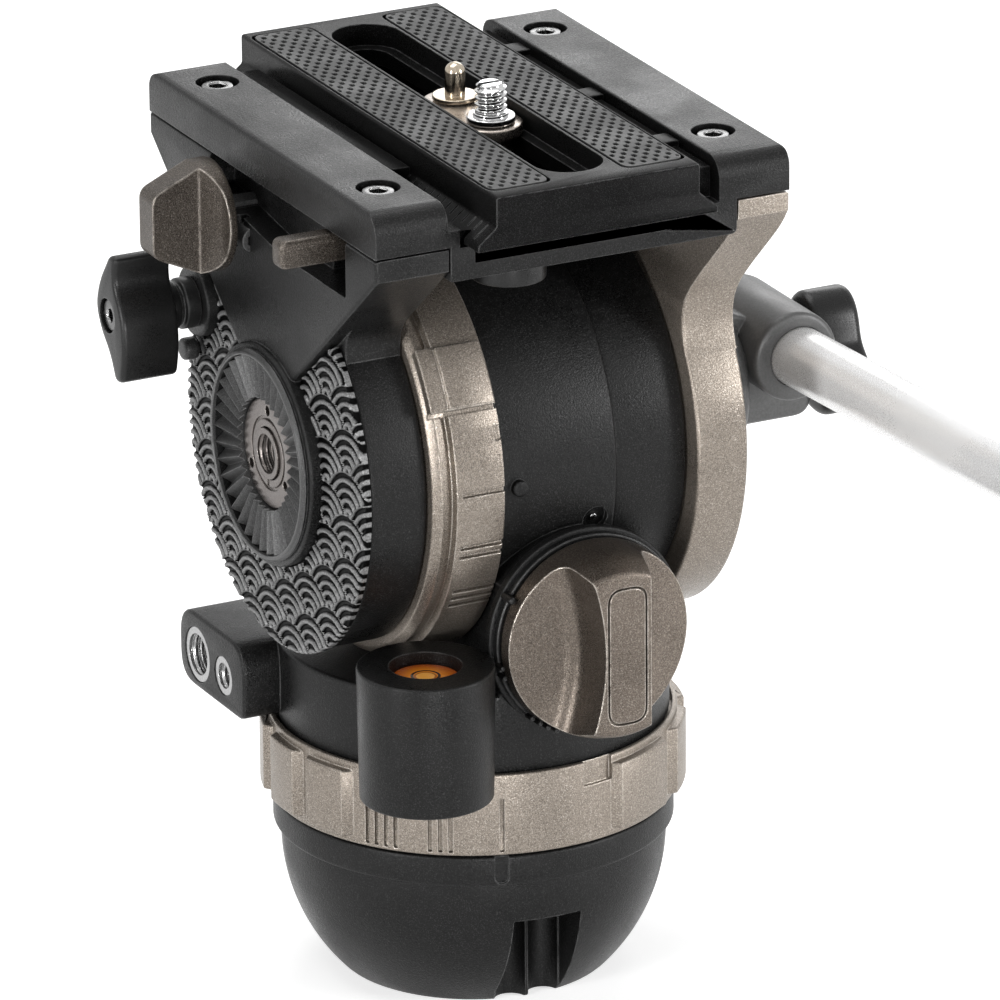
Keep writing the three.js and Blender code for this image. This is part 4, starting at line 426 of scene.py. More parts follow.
# Radius and height at each angle t, carried round an axis: r cos t, r sin t, h
def swept(angle, radius, height, axis, closed=True):
    first, second = np.cos(angle) * radius, np.sin(angle) * radius
    points = alongAxis(np.broadcast_to(height, first.shape), first, second, axis)
    return points.reshape(-1, 3), gridFaces(*first.shape, True, closed)


# A profile of radius and height turned round an axis, closed where it ends at its first point
def turned(profile, axis="z", facets=128):
    line = np.array(profile, float)
    closed = bool(np.allclose(line[0], line[-1]))
    line = line[:-1] if closed else line
    return swept(fullTurn(facets), line[:, 0], line[:, 1], axis, closed)


# A closed line through corners [x, y, round]: a round is (1-t)^2 start + 2t(1-t) corner + t^2 end
def outline(corners, steps=7):
    corner = np.array([[*c, 0][:3] for c in corners], float)
    places, rounds = corner[:, :2], corner[:, 2]
    t = np.linspace(0, 1, steps)[:, None]
    line = []
    for i, (place, size) in enumerate(zip(places, rounds)):
        toward = [other - place for other in (places[i - 1], places[(i + 1) % len(places)])]
        start, end = [place + way / np.hypot(*way) * size for way in toward]
        curve = (1 - t) ** 2 * start + 2 * t * (1 - t) * place + t**2 * end
        line.append(curve if size > 0 else place[None])
    return np.concatenate(line)


# A ring turned from a closed profile of corners
def turnedRing(corners, axis, facets, steps):
    line = outline(corners, steps)
    return turned(np.concatenate([line, line[:1]]), axis, facets)


# A profile whose corners are rounded, kept open from its first point to its last
def softLine(corners, steps=5):
    ends = [[*corners[0]][:2], [*corners[-1]][:2]]
    inner = outline([[*c, 0][:3] for c in corners], steps)
    inner = inner[(inner != ends[0]).any(1) & (inner != ends[1]).any(1)]
    return np.concatenate([[ends[0]], inner, [ends[1]]])


# The same profile turned round an axis
def turnedBar(corners, axis, facets, steps=5):
    return turned(softLine(corners, steps), axis, facets)


def roundedBox(x0, x1, y0, y1, size, steps=7):
    return outline([[x0, y0, size], [x1, y0, size], [x1, y1, size], [x0, y1, size]], steps)


# A slot: two half circles at the ends of a straight run along y
def obround(half, near, far, steps=24):
    t = np.linspace(0, math.pi, steps)
    arc = polar(half, t)
    return np.concatenate([arc + [0, far - half], [0, near + half] - arc])


# Moves each point of a closed outline inwards along the mean of its two sides' normals
def inset(line, depth):
    before, after = line - np.roll(line, 1, 0), np.roll(line, -1, 0) - line
    area = np.sum(line[:, 0] * np.roll(line[:, 1], -1) - np.roll(line[:, 0], -1) * line[:, 1])
    side = 1 if area > 0 else -1
    first, second = [way[:, ::-1] * [-1, 1] / np.hypot(*way.T)[:, None] for way in (before, after)]
    both = first + second
    return line + side * depth * both / np.maximum(0.35, 1 + np.sum(first * second, 1))[:, None]


# A skin over closed rings of points, with a face at each end
def lofted(rings):
    rows, count = rings.shape[:2]
    ends = [list(range(count)), list(range(count * (rows - 1), count * rows))[::-1]]
    return rings.reshape(-1, 3), gridFaces(rows, count, False, True) + ends


# An outline carried along an axis: its ends draw in over a quarter circle of the edge's size.
# The outline lies in xy for "z", in yz for "x" and in xz for "y".
def slab(line, low, high, axis="z", edge=0.0, steps=3):
    turn = np.linspace(0, math.pi / 2, steps + 1) if edge > 0 else np.array([math.pi / 2])
    along, drawn = edge * np.cos(turn), edge * (1 - np.sin(turn))
    depths = np.concatenate([low + edge - along, (high - edge + along)[::-1]])
    rings = [inset(line, size) if size > 0 else line for size in drawn]
    rings = np.array(rings + rings[::-1])
    first, second = rings[:, :, 0], rings[:, :, 1]
    height = np.broadcast_to(depths[:, None], first.shape)
    order = {"z": (first, second, height), "x": (height, first, second), "y": (first, height, second)}
    return lofted(np.stack(order[axis], -1))


def block(x0, x1, y0, y1, z0, z1, edge=0.0):
    return slab(np.array([[x0, y0], [x1, y0], [x1, y1], [x0, y1]], float), z0, z1, "z", edge)


# A round bar or ring whose outer edges are rounded
def bar(radius, low, high, axis="z", edge=0.0, facets=96):
    ends = [[0, low], [radius, low, edge], [radius, high, edge], [0, high]]
    return turned(softLine(ends) if edge > 0 else [e[:2] for e in ends], axis, facets)


def ring(bore, radius, low, high, axis="z", edge=0.0, facets=96):
    corners = [[bore, low, edge / 2], [radius, low, edge], [radius, high, edge], [bore, high, edge / 2]]
    return turnedRing(corners, axis, facets, 5)


# Flank of a thread or tooth over one pitch: a triangle wave, steepened and cut to 0 at roots and 1 at tops
def flank(phase, steep, root):
    return np.clip(steep * np.abs(2 * (phase % 1) - 1) - root, 0, 1)


# A grid with one more column for each value
def widened(grid, *values):
    return np.concatenate([grid, *[np.full_like(grid[:, :1], value) for value in values]], 1)


# A thread cut into or standing on a bar: the radius swings with height / pitch - turn / full turn
def threaded(wall, radius, depth, pitch, low, high, axis="z", facets=48, perTurn=8):
    angle = fullTurn(facets)
    height = np.linspace(low, high, max(8, int((high - low) / pitch * perTurn)))[None, :] + 0 * angle
    fade = np.clip(np.minimum(height - low, high - height) / (pitch * 0.8), 0, 1)
    reach = radius + depth * flank(height / pitch - angle / tau, 1.7, 0.35) * fade
    return swept(angle, widened(reach, wall, wall), widened(height, high, low), axis)


# Radial teeth of a rosette: height over the seat grows with radius and swings with the angle
def teethRing(bore, radius, seat, root, tip, teeth, steps=6, rows=14):
    angle = fullTurn(teeth * steps)
    reach = np.linspace(bore, radius, rows)[None, :] + 0 * angle
    face = root + (tip - root) * flank(angle / tau * teeth, 1.25, 0.12) * reach / radius
    return swept(angle, widened(reach, radius, bore), widened(face, seat, seat), "x")


# Closes a grid of points to a solid: its edge is carried to one level of an axis and shut with a face
def skirted(grid, axis, level):
    index = np.arange(grid.shape[0] * grid.shape[1]).reshape(grid.shape[:2])
    edge = np.concatenate([index[0], index[1:, -1], index[-1, -2::-1], index[-2:0:-1, 0]])
    flat = grid.reshape(-1, 3)
    skirt = flat[edge]
    skirt[:, axis] = level
    foot = len(flat) + np.arange(len(edge))
    wall = np.stack([edge, np.roll(edge, -1), np.roll(foot, -1), foot], -1).tolist()
    return np.concatenate([flat, skirt]), gridFaces(*index.shape) + wall + [foot.tolist()]


# Moves a shape, or an object made of one
def moved(shape, x=0, y=0, z=0):
    if isinstance(shape, tuple):
        return shape[0] + np.array([x, y, z]), shape[1]
    shape.data.transform(Matrix.Translation(Vector((x, y, z)) * mm))
    return shape


# Turns a shape or an object round an axis through the origin
def spun(shape, degrees, axis="z"):
    turn = Matrix.Rotation(math.radians(degrees), 3, axis.upper())
    if isinstance(shape, tuple):
        return shape[0] @ np.array(turn).T, shape[1]
    shape.data.transform(turn.to_4x4())
    return shape


def hexagon(across):
    return polar(across / math.sqrt(3), tau * np.arange(6) / 6)


# Plan of a sector of a ring: out along one arc and back along the other
def sector(bore, radius, first, last, steps):
    turn = np.radians(np.linspace(first, last, steps))
    return np.concatenate([polar(radius, turn), polar(bore, turn[::-1])])


# Groups of engraved lines: a line's angle is its group's angle plus its place times pitch over radius
def engraved(tool, lines, pitch, radius, axis="z"):
    tools = []
    for middle, count in lines.items():
        offsets = [(i - (count - 1) / 2) * pitch / radius for i in range(count)]
        tools += [spun(tool, middle + math.degrees(offset), axis) for offset in offsets]
    return tools


# Makes an object of a shape: doubles merged, faces turned outwards by the sign of its volume
def solidOf(shape, name="tool"):
    data = bpy.data.meshes.new(name)
    data.from_pydata((shape[0] * mm).tolist(), [], shape[1])
    work = bmesh.new()
    work.from_mesh(data)
    bmesh.ops.remove_doubles(work, verts=work.verts, dist=1e-7)
    bmesh.ops.dissolve_degenerate(work, edges=work.edges, dist=1e-8)
    bmesh.ops.recalc_face_normals(work, faces=work.faces)
    if work.calc_volume(signed=True) < 0:
        bmesh.ops.reverse_faces(work, faces=work.faces)
    work.to_mesh(data)
    work.free()
    body = bpy.data.objects.new(name, data)
    scene.collection.objects.link(body)
    return body


# The tools are joined with the first shape or taken from it, and then removed
def combine(operation, first, others):
    body, *tools = [solidOf(shape) if isinstance(shape, tuple) else shape for shape in (first, *others)]
    for tool in tools:
        step = body.modifiers.new("step", "BOOLEAN")
        step.operation = operation
        step.solver = "MANIFOLD"
        step.object = tool
    depsgraph = bpy.context.evaluated_depsgraph_get()
    body.data = bpy.data.meshes.new_from_object(body.evaluated_get(depsgraph))
    body.modifiers.clear()
    for tool in tools:
        bpy.data.objects.remove(tool)
    return body


def fuse(first, *others):
    return combine("UNION", first, others)


def cut(first, *others):
    return combine("DIFFERENCE", first, others)


def meet(first, *others):
    return combine("INTERSECT", first, others)


tiltAxis = 83.8  # height of the tilt axis: pieces that tilt are drawn about it
over = 2.0  # how far a cutting tool stands out
clear = 60  # a tool's end that is past every face it could meet
untilted = ("ball_base", "pan_ring", "pan_body", "dial", "pan_lock")  # the bodies that don't tilt


# Names a finished shape, shades it smooth up to an angle, sets its finish and body, and hides the model's
# nodes it stands for
def addPiece(name, shape, finish, body, *nodes, sharp=30):
    made = solidOf(shape, name) if isinstance(shape, tuple) else shape
    made.name = name
    data = made.data
    data.name = name
    if body not in untilted:
        data.transform(Matrix.Translation((0, 0, tiltAxis * mm)))
    data.materials.clear()
    data.materials.append(ready[finish].material)
    data.polygons.foreach_set("use_smooth", [True] * len(data.polygons))
    data.polygons.foreach_set("material_index", [0] * len(data.polygons))
    data.set_sharp_from_angle(angle=math.radians(sharp))
    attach(made, body)
    if nodes:
        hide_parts(*nodes)
    return made


# Half ball: a zone of a ball under a straight band, with a pocket, two flutes and a capsule mark
ball = {
    "radius": 37.5, "flatZ": -26.4, "bandRadius": 39, "bandLowZ": 2, "topZ": 8.3, "edge": 0.6, "bore": 24,
    "boreZ": 2, "threadBore": 6.5, "pocketX": -2.2, "pocketHalf": 7, "pocketTopZ": -6.2, "pocketY": -27,
    "pocketEdge": 0.4, "flute": 3.2, "fluteInset": 3.5, "fluteShort": 0.3, "markAngle": -108.4,
    "markHalf": 1.35, "markLowZ": 2.6, "markDepth": 0.7,
}


# The ball's side is r cos t, r sin t from the flat up to the band
def makeHalfBall(d):
    low, high = [math.asin(d[height] / d["radius"]) for height in ("flatZ", "bandLowZ")]
    arc = polar(d["radius"], np.linspace(low + 0.02, high, 48))
    foot = [[0, d["flatZ"]], [arc[0, 0] - d["edge"], d["flatZ"]]]
    band = softLine([
        [arc[-1, 0], d["bandLowZ"]], [d["bandRadius"], d["bandLowZ"] + 0.5, d["edge"]],
        [d["bandRadius"], d["topZ"], d["edge"]], [0, d["topZ"]],
    ])
    body = turned(np.concatenate([foot, arc, band[1:]]), "z", 192)
    x, y, half = d["pocketX"], d["pocketY"], d["pocketHalf"]
    low, top = d["flatZ"] - over, d["pocketTopZ"]
    pocket = block(x - half, x + half, -clear, y, low, top, d["pocketEdge"])
    flute = bar(d["flute"], low, top - d["fluteShort"])
    flutes = [moved(flute, x + side * d["fluteInset"], y) for side in (-1, 1)]
    slot = obround(d["markHalf"], d["markLowZ"], d["topZ"] + over)
    mark = slab(slot, -d["bandRadius"] - over, -d["bandRadius"] + d["markDepth"], "y")
    bores = [bar(d["bore"], d["boreZ"], d["topZ"] + over), bar(d["threadBore"], low, d["boreZ"] + 1)]
    return cut(body, pocket, *flutes, spun(mark, d["markAngle"] + 90), *bores)


addPiece("halfBall", makeHalfBall(ball), "casting", "ball_base", "half_ball")

# Pan drag ring: lugs with sloping flanks, a shallow notch with a shelf, and engraved line groups
panRing = {
    "lowZ": 8.9, "topZ": 25.5, "radius": 39.7, "bore": 34.6, "lip": 38.7, "lipDepth": 1.5, "rise": 1.7,
    "edge": 0.45, "lugLowZ": 10.4, "lugSink": 0.6, "flank": 3, "notch": (-84, -74.4), "notchLowZ": 20.6,
    "notchDepth": 0.8, "lines": {-142.8: 4, -125.6: 3, -108.4: 1}, "lineWidth": 0.85, "linePitch": 2,
    "lineDepth": 0.9, "lineTopZ": 20.5, "lineStart": 0.7,
    "lugs": {
        -62.3: 13.2, -35.5: 11, -11.5: 11, 12.5: 11, 36.5: 11, 60.5: 11, 84.5: 11, 108.5: 11, 132.5: 11,
        157: 11, 179.6: 9.6, 199.4: 9.7,
    },
}


# Plan of the lugs: the radius is the ring's, and on each lug it steps up over a smooth flank
def lugPlan(d):
    turn = np.linspace(-180, 180, 1440, endpoint=False)
    root = d["radius"] - d["lugSink"]
    reach = np.full(turn.shape, root)
    for middle, half in d["lugs"].items():
        off = np.abs((turn - middle + 180) % 360 - 180)
        reach = np.maximum(
            reach, root + (d["rise"] + d["lugSink"]) * np.clip((half - off) / d["flank"], 0, 1)
        )
    return polar(reach, np.radians(turn))


def makePanRing(d):
    radius, lipZ = d["radius"], d["topZ"] - d["lipDepth"]
    corners = [
        [d["bore"], d["lowZ"]], [radius, d["lowZ"], d["edge"]], [radius, d["topZ"], d["edge"]],
        [d["lip"], d["topZ"], 0.1], [d["lip"], lipZ], [d["bore"], lipZ],
    ]
    lugs = cut(slab(lugPlan(d), d["lugLowZ"], lipZ, "z", 0.5), bar(d["bore"] + 1, 0, clear))
    half = d["lineWidth"] / 2
    start = d["lowZ"] + d["lineStart"]
    line = block(radius - d["lineDepth"], radius + over, -half, half, start, d["lineTopZ"], 0.12)
    notch = sector(radius - d["notchDepth"], radius + 3, *d["notch"], 12)
    return cut(
        fuse(turnedRing(corners, "z", 256, 5), lugs), *engraved(line, d["lines"], d["linePitch"], radius),
        slab(notch, d["notchLowZ"], d["topZ"] + over)
    )


addPiece("panRing", makePanRing(panRing), "champagne", "pan_ring", "pan_drag_ring")

# Body casting: base, level post, accessory block, dial seat, pedestal and drum in one
casting = {
    "baseRadius": 38.2, "baseLowZ": 24.4, "baseTopZ": 41.2, "edge": 0.9, "cavity": 29, "cavityTopZ": 32.4,
    "postX": -30.5, "postY": -41.8, "postRadius": 13.2, "postFoot": 12.8, "postLowZ": 26.2,
    "postTopZ": 52.7, "postEdge": 0.55, "vialRadius": 7, "vialDepth": 4.4, "neckHalf": 8.5, "blockX": -45.2,
    "blockNear": 8, "blockFar": 37, "blockLowZ": 26, "blockTopZ": 41.2, "blockRoot": -29, "dialX": 3.5,
    "dialZ": 53.9, "seatHalf": 15.5, "seatTopZ": 56, "bossRadius": 20.4, "bossY": -41.6, "bezelY": -39.6,
    "bossRootY": -20, "drumRadius": 38.7, "drumLeft": -13, "drumRight": 12, "drumBore": 30, "nubX": -9.1,
    "nub": 1.6, "nubRise": 1.4, "recessX": 7.8, "recess": 2.6, "recessDepth": 1.2, "recessAngle": 194.5,
    "floorX": 8.6, "footHalf": 27, "footRight": 26.6, "flare": 4, "flareZ": 52, "drumEdge": 0.7,
    "capBore": 38.1, "spindleBore": 9.4, "spindleTopZ": 45, "blockEdge": 0.7, "insertGap": 0.9,
    "insertDepth": 11,
}
inserts = {
    "wall": 0.8, "threadDepth": 0.55, "left": -45, "right": -34.5, "pitch": 1.3,
    "large": {"y": 29, "z": 33, "radius": 4.7}, "small": {"y": 17.3, "z": 32.6, "radius": 3.1},
}


# Puts a shape drawn along y at a place across the drum and an angle round its axis
def onDrum(shape, x, angle):
    return moved(spun(shape, angle, "x"), x, 0, tiltAxis)


def makeCasting(d):
    left, right, top = d["drumLeft"], d["footRight"], d["baseTopZ"]
    radius = d["baseRadius"]
    base = bar(radius, d["baseLowZ"], top, "z", d["edge"], 192)
    drum = moved(bar(d["drumRadius"], left, d["drumRight"], "x", d["drumEdge"], 192), 0, 0, tiltAxis)
    half, flare = d["footHalf"], d["flare"]
    side = outline([
        [-half - flare, top - 0.8], [half + flare, top - 0.8], [half, d["flareZ"], flare], [half, tiltAxis],
        [-half, tiltAxis], [-half, d["flareZ"], flare],
    ])
    foot = meet(slab(side, left, right, "x"), bar(radius - 0.8, 0, tiltAxis, "z", 0, 192))
    x, z = d["dialX"], d["dialZ"]
    wall = meet(
        block(x - d["seatHalf"], x + d["seatHalf"], -clear, 0, top - 2, d["seatTopZ"]),
        bar(radius, 0, tiltAxis, "z", 0, 192)
    )
    bezel = moved(bar(d["bossRadius"], d["bossY"], d["bezelY"], "y", 0.4, 128), x, 0, z)
    boss = meet(
        moved(bar(d["bossRadius"] - 0.8, d["bossY"] + 0.3, d["bossRootY"], "y"), x, 0, z),
        block(left, right, -clear, d["bossRootY"], 0, tiltAxis)
    )
    postX, postY = d["postX"], d["postY"]
    reach = math.hypot(postX, postY)
    neck = block(-d["neckHalf"], d["neckHalf"], 0, reach - d["cavity"], d["postLowZ"], top, 0.5)
    neck = spun(neck, math.degrees(math.atan2(postY, postX)) + 90)
    post = [
        [0, d["postLowZ"]], [d["postFoot"], d["postLowZ"], d["postEdge"]],
        [d["postRadius"], d["postTopZ"], d["postEdge"]], [0, d["postTopZ"]],
    ]
    ear = outline([
        [d["blockNear"], d["blockLowZ"], 3], [d["blockFar"], d["blockLowZ"], 6],
        [d["blockFar"], d["blockTopZ"], 6], [d["blockNear"], d["blockTopZ"], 6],
    ])
    nub = bar(d["nub"], d["drumRadius"] - 1, d["drumRadius"] + d["nubRise"], "y", 0.5, 48)
    body = fuse(
        base, drum, foot, wall, bezel, boss, moved(neck, postX, postY),
        moved(turnedBar(post, "z", 128), postX, postY),
        slab(ear, d["blockX"], d["blockRoot"], "x", d["blockEdge"]), onDrum(nub, d["nubX"], 180)
    )
    recess = bar(d["recess"], d["drumRadius"] - d["recessDepth"], d["drumRadius"] + over, "y", 0, 64)
    holes = []
    for hole in (inserts["large"], inserts["small"]):
        bore = bar(hole["radius"] + d["insertGap"], d["blockX"] - over, d["blockX"] + d["insertDepth"], "x")
        holes.append(moved(bore, 0, hole["y"], hole["z"]))
    return cut(
        body, onDrum(recess, d["recessX"], d["recessAngle"]),
        bar(d["cavity"], d["baseLowZ"] - over, d["cavityTopZ"]),
        moved(bar(d["drumBore"], left - over, d["floorX"], "x"), 0, 0, tiltAxis),
        moved(bar(d["capBore"], d["drumRight"], right + over, "x", 0, 192), 0, 0, tiltAxis),
        moved(bar(d["vialRadius"], d["postTopZ"] - d["vialDepth"], clear), postX, postY),
        bar(d["spindleBore"], d["cavityTopZ"] - over, d["spindleTopZ"]), *holes
    )


addPiece("bodyCasting", makeCasting(casting), "casting", "pan_body", "body_casting")


# The round end of a pin at the bottom of the drum's recess
def makeDrumPin(d):
    floor = d["drumRadius"] - d["recessDepth"]
    pin = bar(0.7, floor - 0.4, floor + d["recessDepth"] / 2, "y", 0.3, 32)
    return onDrum(pin, d["recessX"], d["recessAngle"])


addPiece("drumPin", makeDrumPin(casting), "steel", "pan_body")
print("ball, pan ring and casting made")

# Drum cap: a shallow dish that closes the drum on its right
drumCap = {"radius": 37.9, "left": 11.95, "right": 27.1, "edge": 0.6, "bore": 12.2}


def makeDrumCap(d):
    dish = bar(d["radius"], d["left"], d["right"], "x", d["edge"], 192)
    bore = bar(d["bore"], d["left"] + 3, d["right"] + over, "x")
    return moved(cut(dish, bore), 0, 0, tiltAxis)


addPiece("drumCap", makeDrumCap(drumCap), "casting", "pan_body", "drum_cap")

# Dial: a domed cap, a finger scoop on each side of its bar, and an obround line let into the bar
dial = {
    "x": 3.5, "z": 53.9, "radius": 19.1, "backY": -42.4, "shoulderY": -51.5, "shoulderRadius": 18.7,
    "faceY": -57.5, "faceRadius": 16.4, "edgeX": 5.95, "creaseX": 7.6, "creaseY": -48.7, "rimX": 18.8,
    "rimY": -47.0, "bow": {-1: 2.3, 1: 0.0}, "crease": 3.2, "inset": (-3.3, 5.1, -14.2, 13.6),
    "insetRound": 3.2, "line": 0.45, "depth": 0.6, "rimBackY": -43.6, "waist": 18.3, "stem": 4, "stemY": -24,
}


# A tool for one scoop: sections in xy at rising heights, drawn outwards by the square of the height
def scoop(d, side):
    slope = (d["rimY"] - d["creaseY"]) / (d["rimX"] - d["creaseX"])
    wide = d["rimX"] + 2 * over
    rings = []
    for z in np.linspace(-1.1, 1.1, 33) * d["radius"]:
        out = d["bow"][side] * ((z / d["radius"]) ** 2 / 0.6 - 1)
        line = outline([
            [wide, d["rimY"] + slope * 2 * over],
            [d["creaseX"] + out, d["creaseY"] - slope * out * 0.4, d["crease"]],
            [d["edgeX"] + out, d["faceY"]], [d["edgeX"] + out - 0.3, d["faceY"] - 2 * over],
            [wide, d["faceY"] - 2 * over],
        ], 12)
        rings.append(np.stack([side * line[:, 0], line[:, 1], np.full(len(line), z)], -1))
    return lofted(np.array(rings))


def makeDial(d):
    face = d["faceY"]
    profile = [
        [0, face], [d["faceRadius"], face, 0.9], [d["shoulderRadius"], d["shoulderY"], 2.5],
        [d["radius"], d["rimBackY"] - 0.3, 0.3], [d["waist"], d["rimBackY"]], [d["waist"], d["backY"]],
        [0, d["backY"]],
    ]
    line = roundedBox(*d["inset"], d["insetRound"])
    groove = cut(
        slab(line, face - over, face + d["depth"] + 0.4, "y"),
        slab(inset(line, d["line"]), face - 2 * over, face + 5, "y")
    )
    cap = cut(turnedBar(profile, "y", 160, 8), scoop(d, -1), scoop(d, 1), groove)
    return moved(fuse(cap, bar(d["stem"], d["backY"] - 1, d["stemY"], "y")), d["x"], 0, d["z"])


addPiece("dial", makeDial(dial), "dialPaint", "dial", "counterbalance_dial")

# Bezel: a black collar behind the dial with a pointer nub along it and small teeth on its front edge
bezelDots = {
    "radius": 19.6, "bore": 18.6, "y": -43.2, "backY": -41.4, "size": 0.5,
    "angles": (190, 196, 228, 234, 240, 246), "dotAt": 19.75, "dotY": -45.6, "nub": 150, "nubAt": 20.0,
    "nubY": -45.8, "nubRadius": 0.8,
}


def makeDots(d):
    def around(shape, degrees, out):
        turn = math.radians(degrees)
        return moved(shape, out * math.cos(turn), 0, out * math.sin(turn))

    dot = bar(d["size"], d["dotY"], d["y"] + 0.5, "y", 0.3, 16)
    nub = bar(d["nubRadius"], d["nubY"], d["backY"] - 0.3, "y", 0.6, 32)
    collar = ring(d["bore"], d["radius"], d["y"], d["backY"], "y", 0.3, 160)
    dots = [around(dot, angle, d["dotAt"]) for angle in d["angles"]]
    return moved(fuse(collar, around(nub, d["nub"], d["nubAt"]), *dots), dial["x"], 0, dial["z"])


addPiece("bezelDots", makeDots(bezelDots), "plastic", "pan_body")

# Vial: a shallow glass drum sunk in the top of the level post
vial = {"radius": 6.6, "height": 2.2, "lowZ": 48.5}


def makeVial(d):
    top = d["height"]
    profile = [[0, 0], [d["radius"], 0, 0.2], [d["radius"], top - 0.3, 0.5], [0, top]]
    return moved(turnedBar(profile, "z", 96, 6), casting["postX"], casting["postY"], d["lowZ"])


addPiece("vial", makeVial(vial), "vial", "pan_body", "level_vial")


# Thread inserts: bright sleeves with a real thread inside
def makeInsert(d, hole):
    wall, depth, radius = d["wall"], d["threadDepth"], hole["radius"]
    sleeve = threaded(radius + wall, radius - depth, depth, d["pitch"], d["left"], d["right"], "x", 72, 12)
    return moved(sleeve, 0, hole["y"], hole["z"])


for size in ("large", "small"):
    sleeve = makeInsert(inserts, inserts[size])
    addPiece(f"{size}Insert", sleeve, "steel", "pan_body", f"{size}_thread_insert")

# Tilt drag ring: a chamfered left edge with a fine groove, one grip lug in two steps, three groups of
# lines, a groove under the lug and a dent
tiltRing = {
    "left": -27.9, "right": -13.3, "radius": 41.9, "bore": 34.5, "edge": 1.5, "rise": 1.4,
    "lugAngle": 146.9, "lugHalf": 8.5, "lugLeft": -27.2, "lugRight": -13.9, "lugTop": 0.94, "groove": -23.8,
    "grooveDepth": 1.6, "lines": {178: 1, 194.5: 2, 210.5: 3}, "linePitch": 2, "lineHalf": 0.5,
    "lineDepth": 1, "lineLength": 9, "underDepth": 1.5, "mark": 1.5, "markDepth": 0.7, "markAngle": 162.9,
    "markX": -14.2,
}


def makeTiltRing(d):
    radius, edge, groove, middle, half = d["radius"], d["edge"], d["groove"], d["lugAngle"], d["lugHalf"]
    corners = [
        [d["bore"], d["left"]], [radius - edge - 0.4, d["left"], 0.25],
        [radius - 0.5, d["left"] + edge, 0.3], [radius - d["grooveDepth"], groove, 0.05],
        [radius, groove + 0.3, 0.05], [radius, d["right"], 0.6], [d["bore"], d["right"]],
    ]
    steps = (
        (half, d["rise"] * 0.5, d["lugLeft"], d["lugRight"]),
        (half * d["lugTop"], d["rise"], groove + 0.2, d["lugRight"] - 0.2)
    )
    lugs = []
    for reach, rise, left, right in steps:
        plan = sector(d["bore"] + 1, radius + rise, middle - reach, middle + reach, 40)
        lugs.append(slab(plan, left, right, "x", 0.35))
    end, top, wide = d["right"] + over, radius + over, d["lineHalf"]
    line = block(d["right"] - d["lineLength"], end, radius - d["lineDepth"], top, -wide, wide, 0.1)
    under = block(d["lugLeft"] - 1, end, radius - d["underDepth"], top, -wide, wide)
    dent = moved(bar(d["mark"], radius - d["markDepth"], top, "y", 0, 32), d["markX"])
    return cut(
        fuse(turnedRing(corners, "x", 256, 4), *lugs),
        *engraved(line, d["lines"], d["linePitch"], radius, "x"), spun(under, middle + half + 0.5, "x"),
        spun(dent, d["markAngle"], "x")
    )


addPiece("tiltRing", makeTiltRing(tiltRing), "champagne", "tilt_ring", "tilt_drag_ring")

# Left arm: a proud V-shaped skin over the drum end, a round boss, a lug and a stepped window. The
# rosette and the stop screw stand in its seats.
arm = {
    "outer": -43.4, "inner": -28.2, "seam": 53.7, "near": -49, "far": 50.5, "shoulder": 49.5, "vY": 8,
    "vZ": 15, "waistY": 28, "waistZ": 31.5, "edge": 1, "hubRadius": 38.5, "hubX": -39.8, "bossRadius": 21.8,
    "bossX": -44.4, "rimX": -45.4, "rimRadius": 20.4, "lugY": 31, "lugZ": 21.2, "lugRadius": 7, "lugX": -44,
    "lugRoot": -31, "lugBore": 3.3, "lugFloor": -33, "knobY": 15.6, "knobZ": 44.2, "knobBore": 3.3,
    "collar": 5.6, "collarX": -45.6, "collarGap": 0.3, "pocket": 7.3, "pocketDepth": 1.4, "nub": 2.5,
    "nubX": -42.5, "nubNear": 5.6, "nubZ": 41.2, "nubHole": 1.5, "legX": -34, "legNear": 8.7,
    "legFar": 22.3, "legLow": 38.7, "hubSeat": 10.9, "hubFloor": -40.3, "hubBore": 5.3, "boreFloor": -36.3,
    "stopBore": 1.4, "stopFloor": -32,
}
window = {
    "near": -36, "far": 23, "lowZ": 42.6, "slantY": -8, "slantZ": 47, "floorX": -38.2, "deepX": -32.6,
    "deepNear": -30.6, "deepFar": -20,
}
rosette = {"radius": 19.4, "bore": 11, "seatX": -42, "rootX": -43.2, "tipX": -45.2, "teeth": 36}
stop = {"radius": 2.2, "rise": 2.6, "x": -42.7, "y": 33.4, "z": 10.8, "tip": 1.1, "depth": 5}


# The V of the arm's skin, grown by a joint all round for the cover that lies against it
def veeLine(d, grow=0.0):
    near, far, low, shoulder = d["near"] - grow, d["far"] + grow, d["vZ"] - grow, d["shoulder"] - grow
    half = d["vY"] + grow
    return outline([
        [near, d["seam"]], [near, shoulder], [-half, low], [half, low], [far, shoulder], [far, d["seam"]],
    ])


